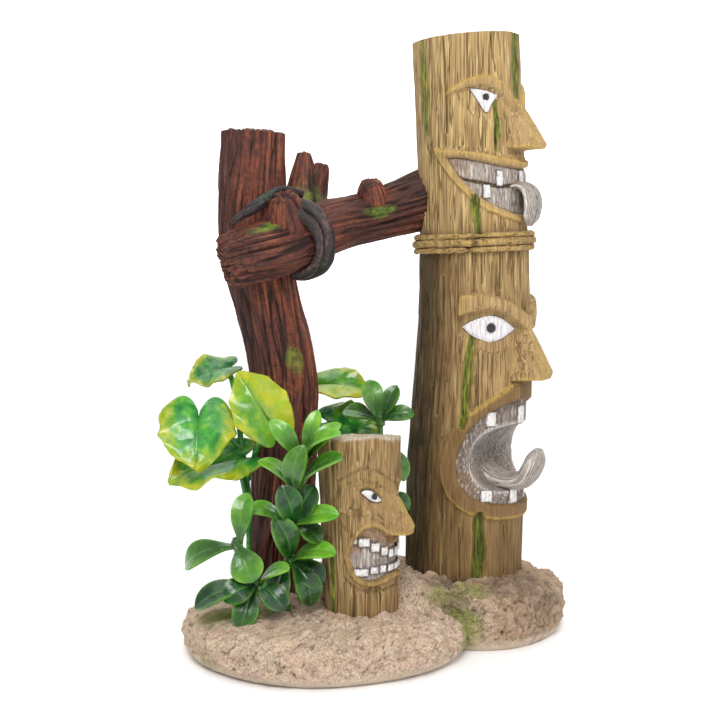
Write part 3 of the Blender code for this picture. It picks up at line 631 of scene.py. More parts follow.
def upper_skin():
    skin = Skin(UPPER_LOG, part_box("totem_upper_log")[0].z / MM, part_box("totem_upper_log")[1].z / MM - 0.4, 21)
    brow = skin.inside(outline_between(UPPER_BROW_TOP, UPPER_BROW_FOOT))
    skin.plate(brow, 1.3, 0.8)
    skin.paint("edge", np.exp(-((skin.near(UPPER_BROW_TOP) / 0.75) ** 2)))
    socket = 1 - rise(skin.near([(-70, 189.5), (-46, 188.0), (-28, 187.5)]), 2.5, 6.5)
    skin.relief -= 0.55 * socket * (1 - rise(brow, -0.5, 0.2))
    frame_inside = skin.inside(outline_between(UPPER_FRAME_TOP, UPPER_FRAME_FOOT))
    mouth_inside = skin.inside(outline_between(UPPER_MOUTH_TOP, UPPER_MOUTH_FOOT))
    skin.plate(frame_inside, 1.15, 0.7)
    skin.relief -= 2.2 * rise(mouth_inside, -0.3, 0.5)
    edge = np.exp(-(((frame_inside - 0.55) / 0.6) ** 2)) * (1 - rise(mouth_inside, -0.4, 0.2))
    skin.paint("edge", edge)
    skin.relief += 0.35 * np.exp(-((skin.near(UPPER_FRAME_TOP[2:]) - 0.6) ** 2) / 0.5)
    skin.nose(191.0, 174.6, 172.8, (2.2, 8.2), 9.0, bare=0.9)
    skin.grain(
        1.0,
        (
            ([(-91, 214), (-90, 203), (-89, 190), (-90, 178)], 0.8, 0.7),
            ([(-97, 214), (-98, 200), (-97, 192)], 0.5, 0.5),
            ([(-39, 213), (-37, 206), (-34, 199)], 0.8, 0.6),
            ([(-28, 214), (-27, 204)], 0.5, 0.5),
            ([(-72, 190), (-73, 181), (-72, 174)], 0.4, 0.5),
        ),
    )
    skin.moss([(-121, 214), (-120, 200), (-118, 186), (-117, 178)], 2.9)
    skin.moss([(-36, 189), (-35, 180), (-37, 172)], 1.35, 0.5, 0.5, 0.35)
    skin.moss([(-63, 156), (-61, 148), (-60, 143)], 1.9, 0.4, 0.5, 0.4)
    skin.moss([(0, 220), (1, 206), (-2, 192)], 4.6, 0.3, 0.0, 0.35)
    # Painted shade: the dark mask darkens the recessed mouth behind the jaws.
    skin.paint("dark", 0.85 * rise(mouth_inside, 0.3, 1.2))
    skin.moss([(150, 212), (152, 190), (149, 176)], 1.8, 0.3)
    skin.moss([(92, 150), (93, 143)], 2.0, 0.2)
    skin.masks["moss"] *= 1 - 0.8 * rise(
        skin.near([(-122, 212), (-121, 200), (-119, 186)], False), 3, 0,
    ) * 0.45
    shade = rise(-skin.z, -152, -140) * 0.35
    skin.paint("brown", shade)
    return skin


def upper_log(look):
    skin = upper_skin()
    points, masks = skin.capped()
    x, y, _ = log_section(UPPER_LOG, 213.0)
    slant = 0.076 * (0.5 * (points[..., 0] - x) - 0.866 * (points[..., 1] - y)) - 0.45
    points[..., 2] += rise(points[..., 2], 192, 212) * slant
    return new_object(
        "upper_log_skin", grid_mesh("upper_log_skin", points, masks, wrap=True), look, ["totem_upper_log"],
    )


LOWER_BROW_TOP = (
    (-79, 121.4), (-72, 122.0), (-60, 122.4), (-50, 122.0), (-38, 120.9), (-26, 119.2), (-14, 116.6),
    (-4, 114.6), (8, 114.6),
)
LOWER_BROW_FOOT = (
    (-80, 114.5), (-72, 115.4), (-60, 116.6), (-50, 116.9), (-40, 116.2), (-28, 114.2), (-18, 111.7),
    (-10, 109.6), (8, 108.4),
)
RIM_OUTER = (
    (12, 91.4), (-8, 91.2), (-20, 90.6), (-34, 87.9), (-48, 84.8), (-60, 81.8), (-66, 80.2), (-71, 78.8),
    (-77, 76.2),
    (-83, 72.0), (-87, 66.8), (-89, 61.0), (-87, 55.4), (-81.5, 50.8), (-73.5, 47.5), (-63, 45.0),
    (-50, 43.2), (-32, 42.2),
    (12, 41.8),
)
RIM_INNER = (
    (12, 84.9), (0, 84.8), (-16, 84.4), (-30, 83.4), (-44, 81.4), (-56, 78.2), (-66, 73.8), (-72, 69.0),
    (-75, 64.0),
    (-75, 59.0), (-71.5, 54.8), (-64, 51.4), (-54, 49.2), (-38, 47.6), (-18, 46.8), (12, 46.6),
)


def lower_skin():
    low = 15.0
    skin = Skin(LOWER_LOG, low, LOWER_LOG[-1][0], 57, columns=310)
    brow = skin.inside(outline_between(LOWER_BROW_TOP, LOWER_BROW_FOOT))
    socket = skin.inside(
        [
            (-84, 113), (-60, 117.5), (-40, 117), (-10, 110), (-14, 105), (-30, 102.5), (-46, 101.6),
            (-64, 103.6), (-80, 108),
        ]
    )
    skin.relief -= 0.9 * rise(socket, -1.5, 1.5)
    skin.paint("bare", 0.75 * rise(socket, -1.0, 1.0))
    skin.plate(brow, 2.4, 0.8, bare=0.7)
    skin.paint(
        "edge",
        np.exp(-(((brow - 0.5) / 0.55) ** 2)) * rise(skin.near([(-80, 114.5), (-79, 121.4)]), 9, 0) * 0.9,
    )
    rim = skin.inside(RIM_OUTER)
    mouth = skin.inside(RIM_INNER)
    skin.plate(rim, 1.3, 0.7)
    skin.paint("edge", np.exp(-(((rim - 0.35) / 0.6) ** 2)) * rise(-skin.z, -92, -40))
    skin.paint("edge", np.exp(-(((rim - 0.35) / 0.75) ** 2)) * rise(skin.z, 76, 80))
    skin.relief -= 2.6 * rise(mouth, -0.2, 0.7)
    skin.nose(113.0, 94.0, 91.4, (3.4, 8.8), 9.7, bare=0.25)
    cracks = (
        ([(-98, 128), (-97, 112), (-97, 96), (-98, 80)], 0.9, 0.8),
        ([(-106, 138), (-107, 118), (-104, 90), (-106, 50)], 0.8, 0.7),
        ([(-120, 120), (-119, 80), (-121, 40), (-120, 22)], 0.9, 0.8),
        ([(-134, 100), (-133, 60), (-136, 24)], 0.8, 0.8),
        ([(-58, 138), (-57, 126)], 0.6, 0.6),
        ([(-38, 137), (-37, 124)], 0.5, 0.5),
        ([(-24, 40), (-22, 22)], 0.5, 0.5),
        ([(-86, 44), (-84, 22)], 0.7, 0.6),
        ([(-70, 40), (-68, 22)], 0.5, 0.5),
        ([(120, 130), (118, 90), (121, 40)], 0.7, 0.7),
    )
    skin.grain(1.15, cracks)
    skin.moss([(-66, 108), (-68, 100), (-69, 90), (-70, 76)], 2.1, 1.1, 0.8, 0.3)
    skin.moss([(-52, 44.5), (-50, 36), (-50, 28), (-53, 17)], 2.6, 1.3, 0.7, 0.6)
    skin.moss([(-45, 35), (-46, 27)], 0.9, 0.7, 0.6, 0.5)
    skin.moss([(-128, 60), (-126, 34), (-127, 20)], 1.3, 0.2, 0.0, 0.5)
    skin.moss([(135, 128), (134, 100)], 1.8, 0.4, 0.4)
    # Painted shade: the dark mask darkens the log's left flank, streaked and darker towards the bottom, less on
    # the mouth rim.
    streaks = 0.25 * noise(skin.turned((3.0, 40)), 71)
    side = rise(-skin.angle, 88, 114) * rise(skin.angle, -205, -150)
    skin.paint(
        "dark",
        np.clip(
            side * (0.8 + streaks + 0.42 * rise(-skin.z, -110, -40)), 0, 0.95,
        ) * (1 - 0.8 * rise(rim, -0.5, 0.5)),
    )
    # Painted shade: the dark mask darkens a ragged band at the log's foot, just above the sand.
    skin.paint("dark", 0.75 * rise(-skin.z, -26, -18) * rise(noise(skin.turned((5, 9)), 73), -0.3, 0.4))
    # Brown mask: painted shade on the log's left flank, darker brown paint mixed with painted shade towards the
    # bottom, and some brown paint all over, less on the brow.
    left = rise(-skin.angle, 62, 104) * rise(skin.angle, -215, -170)
    low = rise(-skin.z, -74, -34)
    skin.paint("brown", np.clip((0.3 + 0.75 * left + 0.65 * low) * (1 - 0.75 * rise(brow, -0.5, 0.5)), 0, 1))
    skin.paint("brown", 0.95 * rise(rim, -0.5, 0.5))
    return skin, mouth


def lower_log(look):
    skin, mouth = lower_skin()
    keep = mouth < 1.4
    mesh = grid_mesh("lower_log_skin", skin.points(), skin.masks, wrap=True, keep=keep[:-1])
    return new_object("lower_log_skin", mesh, look, ["totem_lower_log"])


# Plates, eyes, jaws and teeth


def curve(points, count):
    """count points on a smooth curve through the given ones."""
    points = np.array(points, dtype=float)
    padded = np.concatenate([[2 * points[0] - points[1]], points, [2 * points[-1] - points[-2]]])
    at = np.linspace(0, len(points) - 1 - 1e-9, count)
    first = at.astype(int)
    t = (at - first)[:, None]
    a, b, c, d = (padded[first + k] for k in range(4))
    return 0.5 * (2 * b + (c - a) * t + (2 * a - 5 * b + 4 * c - d) * t**2 + (3 * b - a - 3 * c + d) * t**3)


def mirrored(edges):
    """Edges given from the face's left side to its middle, continued to the right side."""
    return [*edges, *((-edge[0], *edge[1:]) for edge in reversed(edges) if edge[0] < 0)]


class Plate:
    """A patch on a log between a low and a high edge: edges are angle, low height, high height."""

    def __init__(self, log, edges, columns, rows, rounded=True):
        line = curve(edges, columns) if rounded else resampled(edges, columns)
        share = np.linspace(0, 1, rows)[:, None]
        self.log = np.array(log)
        self.angle = np.broadcast_to(line[:, 0], (rows, columns))
        self.z = line[:, 1] + (line[:, 2] - line[:, 1]) * share
        self.radius = np.interp(self.z, self.log[:, 0], self.log[:, 3])
        self.across = self.angle * float(self.radius.mean()) * math.pi / 180
        self.share = np.broadcast_to(share, (rows, columns))
        height = np.maximum(line[:, 2] - line[:, 1], 0.01)
        ends = np.minimum(self.across - self.across[:, :1], self.across[:, -1:] - self.across)
        self.rim = np.minimum(np.minimum(share, 1 - share) * height, ends)
        self.relief = np.zeros_like(self.z)
        self.masks = {}

    def spots(self, sizes):
        return np.stack([self.across / sizes[0], self.z / sizes[1], 0 * self.z + 7.0], -1)

    def points(self, proud):
        x, y = (np.interp(self.z, self.log[:, 0], self.log[:, k]) for k in (1, 2))
        turn = np.radians(self.angle)
        reach = self.radius + self.relief + proud
        return np.stack([x + reach * np.sin(turn), y - reach * np.cos(turn), self.z], -1)

    def made(self, name, proud, thickness, look, nodes):
        mesh = grid_mesh(name, self.points(proud), self.masks)
        return thicken(new_object(name, mesh, look, nodes), thickness)


def resampled(points, count):
    points = np.array(points, dtype=float)
    at = np.linspace(0, 1, count)
    along = np.linspace(0, 1, len(points))
    return np.stack([np.interp(at, along, points[:, k]) for k in range(points.shape[1])], -1)


def eye(name, log, edges, pupil, size, proud, bulge, look, halo=0.5):
    """A painted eye set in the log, and its mirror image. pupil is the angle and height of its middle."""
    for side, mark in ((-1, "left"), (1, "right")):
        plate = Plate(log, edges, 90, 60)
        grain = layered(plate.spots((0.7, 6)), 5, 2)
        plate.relief = bulge * rise(plate.rim, 0, 1.6) + 0.07 * grain
        away = np.hypot(plate.across - pupil[0] / plate.angle[0, 0] * plate.across[0, 0], plate.z - pupil[1])
        away = away + 0.12 * noise(plate.spots((0.9, 0.9)), 8)
        plate.masks = {
            "ink": 1 - rise(away, size - 0.18, size + 0.12),
            "halo": (1 - rise(away, size, size + 0.9)) * halo,
            "rim": 1 - rise(plate.rim + 0.12 * grain, 0.2, 0.5),
        }
        if side > 0:
            plate.angle = -plate.angle[:, ::-1]
            for key in ("z", "radius", "relief"):
                setattr(plate, key, getattr(plate, key)[:, ::-1])
            plate.masks = {key: mask[:, ::-1] for key, mask in plate.masks.items()}
        plate.made(f"{name}_{mark}_white", proud, 0.7, look, [f"{name}_{mark}"])


UPPER_EYE = (
    (-63.5, 192.6, 193.4), (-55, 188.4, 193.1), (-46, 184.6, 192.7), (-39, 187.9, 192.0),
    (-32, 190.6, 191.3),
)
LOWER_EYE = (
    (-77.5, 110.5, 111.1), (-69, 108.0, 112.8), (-58, 106.1, 114.3), (-47, 105.2, 115.0),
    (-35, 106.2, 113.9), (-25, 108.0, 111.8), (-17, 109.5, 110.1),
)
TIKI_EYE = ((-58, 58.3, 59.0), (-51, 56.9, 59.6), (-42, 55.4, 59.2), (-33, 54.8, 57.6), (-25, 55.1, 55.7))
UPPER_JAW = (
    (-88, 168.2, 169.3), (-77, 162.9, 169.3), (-55, 161.3, 168.2), (-34, 160.2, 166.8), (0, 160.8, 165.8),
)
LOWER_JAW = (
    (-77, 161.3, 162.0), (-63, 157.0, 160.9), (-52, 154.5, 160.2), (-34, 151.7, 159.2), (0, 149.5, 159.8),
)
UPPER_TEETH = ((-34.5, 159.8, 165.2, 8.5), (-1, 160.8, 165.6, 9.0), (33, 159.8, 165.2, 8.5))
CHIN_TEETH = ((-49.5, 155.4, 160.2, 8.5), (49.5, 155.4, 160.2, 8.5))


def striated(plate, size, seed, depth=0.3):
    """Upright carved lines on grey paint, dark between them and dry-brushed on them."""
    lines = layered(plate.spots((size, 7)), seed, 2)
    creases = np.exp(-((lines / 0.1) ** 2))
    plate.relief = plate.relief + depth * (lines - 0.5 * creases)
    plate.masks["groove"] = np.clip(creases * 0.6 + rise(-lines, 0.2, 0.6) * 0.35, 0, 1)
    plate.masks["crest"] = rise(lines, 0.12, 0.45) * 0.75
    plate.masks["pale"] = 0.75 + 0 * lines
    return lines


def tooth(name, log, spec, proud, looks, nodes, turn=0.0):
    """A blocky tooth with its inked outline. spec is angle, low and high height, and width in degrees."""
    angle, low, high, width = spec
    for kind, grow, lift, thickness in (("outline", 0.17, -0.14, 0.5), ("tooth", 0.0, 0.0, 0.9)):
        half = width / 2 + grow / log_section(log, low)[2] / math.pi * 180
        extra = grow
        edges = [(angle - half, low - extra, high + extra), (angle + half, low - extra, high + extra)]
        plate = Plate(log, edges, 26, 30, rounded=False)
        middle = np.array([angle, (low + high) / 2])
        offset = plate.z - middle[1]
        lean = plate.angle - middle[0]
        plate.angle = middle[0] + lean * (1 - 0.12 * abs(offset) / (high - low)) - offset * math.sin(turn) * 2
        worn = layered(plate.spots((1.1, 1.6)), int(abs(angle)) + 3, 2)
        plate.angle = plate.angle + 0.5 * noise(plate.spots((1.6, 1.6)), int(abs(angle)) + 9)
        plate.z = plate.z + 0.16 * noise(plate.spots((2.1, 2.1)), int(abs(angle)) + 11)
        plate.relief = 0.45 * rise(plate.rim, -0.1, 0.7) + 0.09 * worn
        if kind == "tooth":
            plate.masks = {"rim": np.clip(1 - rise(plate.rim, 0.05, 0.5) + 0.2 * rise(worn, 0.2, 0.6), 0, 1)}
        else:
            plate.masks = {"ink": 0.8 + 0 * worn}
        plate.made(f"{name}_{kind}", proud + lift, thickness, looks[kind], nodes)


def upper_mouth(grey, looks):
    for name, edges, node in (
        ("upper_jaw_grey", UPPER_JAW, "upper_face_upper_jaw"),
        ("lower_jaw_grey", LOWER_JAW, "upper_face_lower_jaw"),
    ):
        plate = Plate(UPPER_LOG, mirrored(edges), 300, 44)
        plate.relief = 0.35 * rise(plate.rim, 0, 0.9) - 0.35
        lines = striated(plate, 0.8, 81 + len(name))
        plate.masks["ink"] = 0.8 * (1 - rise(plate.rim + 0.15 * lines, 0.05, 0.4))
        plate.masks["warm"] = rise(abs(plate.angle), 50, 90) * 0.7
        plate.masks["crest"] *= rise(plate.rim, 0.2, 0.7)
        plate.made(name, -0.1, 0.9, grey, [node])
    for i, spec in enumerate(UPPER_TEETH):
        tooth(f"upper_face_tooth_{i}", UPPER_LOG, spec, 0.12, looks, ["upper_face_upper_jaw"])
    for i, spec in enumerate(CHIN_TEETH):
        tooth(f"upper_face_chin_tooth_{i}", UPPER_LOG, spec, 0.12, looks, ["upper_face_lower_jaw"])
    x, y, _ = log_section(UPPER_LOG, 159.0)
    path = [(x, y - reach, z, r) for reach, z, r in UPPER_TONGUE]
    tongue("upper_tongue", path, 6.8, grey, ["upper_face_lower_jaw"], split=1.0)


UPPER_TONGUE = (
    (17.2, 159.6, 1.3), (20.2, 160.6, 1.5), (23.4, 157.8, 1.7), (24.2, 152.2, 1.7), (22.6, 146.6, 1.3),
)
LOWER_TONGUE = ((5.0, 60.4, 2.7), (11.0, 55.2, 2.9), (18.0, 54.0, 3.0), (25.6, 56.0, 3.3), (28.2, 66.0, 3.1))


def log_section(log, height):
    table = np.array(log)
    return [float(np.interp(height, table[:, 0], table[:, k])) for k in (1, 2, 3)]


class Bar:
    """A bar along a curve that bends towards points of x, y, z, radius: a grid of distance and angle."""

    def __init__(self, points, seed, step=0.5, columns=140, towards=(0.0, 0.0, 1.0), trim=(0.0, 0.0)):
        points = np.array(points, dtype=float)
        arcs = len(points) - 2
        at = np.linspace(0, arcs - 1e-9, 500)
        arc = at.astype(int)
        t = (at - arc)[:, None]
        start = np.where((arc == 0)[:, None], points[0], (points[arc] + points[arc + 1]) / 2)
        end = np.where((arc == arcs - 1)[:, None], points[-1], (points[arc + 1] + points[arc + 2]) / 2)
        line = start * (1 - t) ** 2 + points[arc + 1] * 2 * t * (1 - t) + end * t**2
        steps = np.linalg.norm(np.diff(line[:, :3], axis=0), axis=1)
        length = np.concatenate([[0], np.cumsum(steps)])
        along = np.linspace(trim[0], length[-1] - trim[1], max(4, round((length[-1] - sum(trim)) / step)))
        line = np.stack([np.interp(along, length, line[:, k]) for k in range(4)], -1)
        forward = np.gradient(line[:, :3], axis=0)
        forward /= np.linalg.norm(forward, axis=1)[:, None]
        side = np.cross(forward, towards)
        side /= np.linalg.norm(side, axis=1)[:, None]
        self.centre = line[:, None, :3]
        self.forward = forward[:, None]
        self.side = side[:, None]
        self.top = np.cross(side, forward)[:, None]
        self.angle, self.along = np.meshgrid(np.linspace(0, 360, columns, endpoint=False), along - along[0])
        self.radius = np.broadcast_to(line[:, 3:], self.angle.shape)
        self.length = along[-1] - along[0]
        self.relief = np.zeros_like(self.angle)
        self.seed = seed
        self.masks = {}

    def spots(self, round_size, long_size, twist=0.0):
        turn = np.radians(self.angle) + twist * self.along
        radius = float(self.radius.mean())
        return np.stack(
            [np.cos(turn) * radius / round_size, np.sin(turn) * radius / round_size, self.along / long_size],
            -1
        )

    def points(self, wide=1.0):
        turn = np.radians(self.angle)[..., None]
        reach = (self.radius + self.relief)[..., None]
        return self.centre + reach * (self.side * np.cos(turn) * wide + self.top * np.sin(turn))

    def closed(self, points, rough=(0.0, 0.0), rounding=(0.5, 0.5), end_masks=None):
        """Adds rows that close both ends: rough is how jagged each is in mm, rounding how far it bulges."""
        masks = {key: np.broadcast_to(mask, self.angle.shape) for key, mask in self.masks.items()}
        pieces = [points]
        layers = {key: [mask] for key, mask in masks.items()}
        for end in (0, 1):
            row, centre, out = points[-end], self.centre[-end], self.forward[-end] * (1 if end else -1)
            rim = row - centre
            size = float(np.linalg.norm(rim, axis=1).mean())
            count = max(5, round(size / 0.45))
            shares = np.cos(np.linspace(0, math.pi / 2, count + 1)[1:])
            shares[-1] = 0.02
            rows, broken = [], []
            for share in shares:
                spot = centre + rim * share
                chips = layered(spot / 2.3, self.seed + 40, 3)
                splinters = veins(spot / 1.7, 0.22, self.seed + 47)
                push = rounding[end] * size * math.sqrt(max(0.0, 1 - share**2))
                fade = rise(1 - share, 0, 0.12)
                rows.append(spot + out * (push + rough[end] * fade * (chips - 0.5 * splinters))[:, None])
                broken.append(np.clip(splinters * 0.9 + rise(-chips, 0, 0.5) * 0.6, 0, 1) * (rough[end] > 0))
            if not end:
                rows.reverse()
                broken.reverse()
            pieces.insert(0 if not end else len(pieces), np.array(rows))
            for key, layer in layers.items():
                edge = np.repeat(masks[key][-end][None], len(rows), axis=0)
                if key == "groove" and rough[end]:
                    edge = np.array(broken)
                if end_masks and key in end_masks:
                    edge = np.full_like(edge, end_masks[key][end])
                layer.insert(0 if not end else len(layer), edge)
        return np.concatenate(pieces), {key: np.concatenate(layer) for key, layer in layers.items()}


def tongue(name, path, half_width, look, nodes, split):
    """A tongue with carved lines along it, split being how deep the line down its middle is."""
    bar = Bar(path, 91, step=0.35, columns=110, towards=(1.0, 0.0, 0.0))
    share = bar.along / bar.length
    across = np.sin(np.radians(bar.angle))
    thick = bar.radius * np.sqrt(np.clip(1 - np.clip((share - 0.86) / 0.14, 0, 1) ** 2 * 0.75, 0, 1))
    turn = np.radians(bar.angle)
    width = half_width * (
        0.86 + 0.2 * np.sin(share * math.pi)
    ) * np.sqrt(1 - 0.7 * rise(share, 0.8, 1.0) ** 2)
    sway = noise(np.stack([across * half_width / 3.5, share * 2.5, 0 * share], -1), 92)
    folds = np.cos(2 * math.pi * (across * half_width / 0.95 + 0.9 * sway))
    fine = noise(np.stack([across * half_width / 0.6, share * 9, 0 * share], -1), 93)
    creases = rise(-folds - 0.4 * fine, 0.35, 0.9)
    slot = split * np.exp(-((across / 0.1) ** 2))
    lift = 0.16 * folds + 0.10 * fine - 0.2 * creases - 0.45 * slot * rise(abs(np.cos(turn)), 0.2, 0.6)
    bar.masks = {
        "groove": np.clip(creases * 0.75 + rise(-fine, 0.1, 0.6) * 0.3 + 0.8 * slot, 0, 1),
        "crest": np.clip(rise(folds + 0.6 * fine, 0.3, 0.9) * 0.5 + 0.3 * rise(abs(across), 0.8, 0.97), 0, 1),
        "warm": (1 - rise(share, 0.05, 0.4)) * (0.5 + 0.5 * split),
        "pale": 0.5 + 0 * share,
    }
    wide = bar.side * ((thick + lift) * np.cos(turn))[..., None]
    points = bar.centre + wide + bar.top * ((width + 0.3 * lift) * across)[..., None]
    points, masks = bar.closed(points, rounding=(0.2, 0.35))
    new_object(name, grid_mesh(name, points, masks, wrap=True), look, nodes)


# The lower face's open mouth

CAVITY_HEIGHT = 63.8
CAVITY_RISE = 12.0
CAVITY_DEPTH = 13.7
CAVITY_FRONT = 21.6
LOWER_TEETH = (
    (-42.5, 75.5, 80.9, 11.0), (-1.5, 75.5, 82.2, 13.5), (41, 75.5, 80.9, 11.0),
    (-44, 48.6, 53.0, 12.5), (-10.5, 46.9, 52.4, 12.5), (22, 47.2, 52.2, 12.0), (48, 49.0, 53.2, 12.0),
)


def lower_mouth(grey, looks):
    """The grey ring and the lining of the cavity that runs across the front of the log."""
    columns = 320
    outline = np.array(RIM_INNER)
    half = len([p for p in RIM_INNER if p[1] > 62])
    low_line = outline[half - 1 :][::-1]
    high_line = outline[:half][::-1]
    angle = 75.4 * np.sin(np.linspace(-math.pi / 2, math.pi / 2, columns))
    side = -abs(angle)
    low_line = low_line[np.argsort(low_line[:, 0])]
    high_line = high_line[np.argsort(high_line[:, 0])]
    low = np.interp(side, low_line[:, 0], low_line[:, 1]) - 0.6
    high = np.interp(side, high_line[:, 0], high_line[:, 1]) + 0.6
    turn = np.radians(angle)
    surface = 20.9
    deepest = CAVITY_DEPTH * (1 - 0.13 * (turn / 1.07) ** 2)
    need = np.clip((CAVITY_FRONT - surface * np.cos(turn)) / deepest, 0, 1)
    opening = CAVITY_RISE * np.sqrt(1 - need**2)
    rows = []
    for share in np.linspace(0, 1, 16)[:-1]:
        rows.append(high + (CAVITY_HEIGHT + opening - high) * share)
    for share in np.linspace(0, 1, 90):
        rows.append(CAVITY_HEIGHT + opening * math.cos(math.pi * share))
    for share in np.linspace(0, 1, 16)[1:]:
        rows.append(CAVITY_HEIGHT - opening + (low - CAVITY_HEIGHT + opening) * share)
    z = np.array(rows)[::-1]
    turn = np.broadcast_to(turn, z.shape)
    lift = abs(z - CAVITY_HEIGHT)
    depth = CAVITY_FRONT - deepest * np.sqrt(np.clip(1 - (lift / CAVITY_RISE) ** 2, 0, 1))
    inside = lift < opening
    x0, y0, radius = (np.interp(z, np.array(LOWER_LOG)[:, 0], np.array(LOWER_LOG)[:, k]) for k in (1, 2, 3))
    ring = radius - 0.55
    reach = np.where(inside, np.minimum(depth / np.cos(turn), ring), ring)
    across = reach * np.sin(turn)
    swing = np.arctan2(z - CAVITY_HEIGHT, depth - CAVITY_FRONT + 0.01)
    sway = noise(np.stack([across / 4.0, swing * 1.4, 0 * z + 3], -1), 94)
    combed = np.cos(2 * math.pi * (across / 0.95 + 1.0 * sway))
    bore = np.stack([across / 0.7, swing * 3.0, 0 * z + 3], -1)
    along_gum = rise(z, 73, 77)
    front = np.stack([np.degrees(turn) * 0.37 / 0.75, z / (1.0 + 6 * along_gum), 0 * z + 9], -1)
    fine = np.where(inside, noise(bore, 97), noise(front * 2.1, 98))
    lines = np.where(inside, 0.5 * combed + 0.15 * fine, noise(front, 96))
    creases = np.where(inside, rise(-lines, 0.1, 0.4), np.exp(-((lines / 0.11) ** 2)))
    deep = np.where(inside, rise(ring - reach, 0, 1.2), 0.0)
    blend = np.where(inside, deep, 1.0)
    reach = reach + (0.28 * lines + 0.14 * fine - 0.25 * creases) * blend
    lipped = np.exp(-(((lift - opening) / 0.9) ** 2)) * (opening > 1)
    angle = np.degrees(turn)
    masks = {
        "groove": np.clip(creases * np.where(inside, 1.0, 0.7) + rise(-fine, 0.15, 0.6) * 0.3, 0, 1),
        "crest": np.clip(rise(lines, 0.25, 0.5) * np.where(inside, 0.8, 0.6) + 0.5 * lipped, 0, 1),
        # Painted shade: a little over the whole lining and much more the deeper into the cavity.
        "deep": np.where(inside, 0.4 + 0.6 * rise(ring - reach, 1, 9), 0.25),
        "ink": 1 - rise(np.minimum(high - z, z - low) , 0.7, 1.3),
        "warm": rise(abs(angle), 40, 75) * 0.8 * (z < 60),
    }
    masks["crest"] = masks["crest"] * (1 - 0.7 * rise(abs(z - 53), 5, 0) * inside)
    points = np.stack([x0 + reach * np.sin(turn), y0 - reach * np.cos(turn), z], -1)
    lining = new_object(
        "lower_mouth_lining", grid_mesh("lower_mouth_lining", points, masks), grey, ["lower_face_mouth"],
    )
    thicken(lining, 0.6)
    for i, spec in enumerate(LOWER_TEETH):
        tooth(f"lower_face_tooth_{i}", LOWER_LOG, spec, -0.45, looks, ["lower_face_mouth"])
    x, y, _ = log_section(LOWER_LOG, CAVITY_HEIGHT)
    path = [(x, y - reach, z, r) for reach, z, r in LOWER_TONGUE]
    tongue("lower_tongue", path, 7.0, grey, ["lower_face_mouth"], split=0.0)


# Small tiki

TIKI_BROW_TOP = ((-90, 62.4), (-72, 64.6), (-52, 66.2), (-34, 65.2), (-16, 62.8), (0, 60.6), (12, 60.6))
TIKI_BROW_FOOT = ((-91, 60.0), (-72, 62.2), (-52, 63.0), (-34, 61.6), (-18, 59.0), (0, 57.0), (12, 57.0))
TIKI_FRAME = (
    (12, 42.6), (0, 42.6), (-12, 44.4), (-26, 47.2), (-40, 48.8), (-54, 48.2), (-66, 45.6), (-77, 41.2),
    (-84, 37.0),
    (-79, 32.4), (-70, 29.0), (-58, 27.2), (-40, 26.8), (-20, 27.8), (0, 28.8), (12, 28.8),
)
TIKI_MOUTH = (
    (12, 40.4), (0, 40.4), (-12, 42.4), (-26, 45.2), (-40, 46.9), (-53, 46.3), (-64, 43.8), (-73, 40.2),
    (-80, 37.3),
    (-74, 33.6), (-66, 30.6), (-55, 28.9), (-40, 28.5), (-20, 29.5), (0, 30.3), (12, 30.3),
)


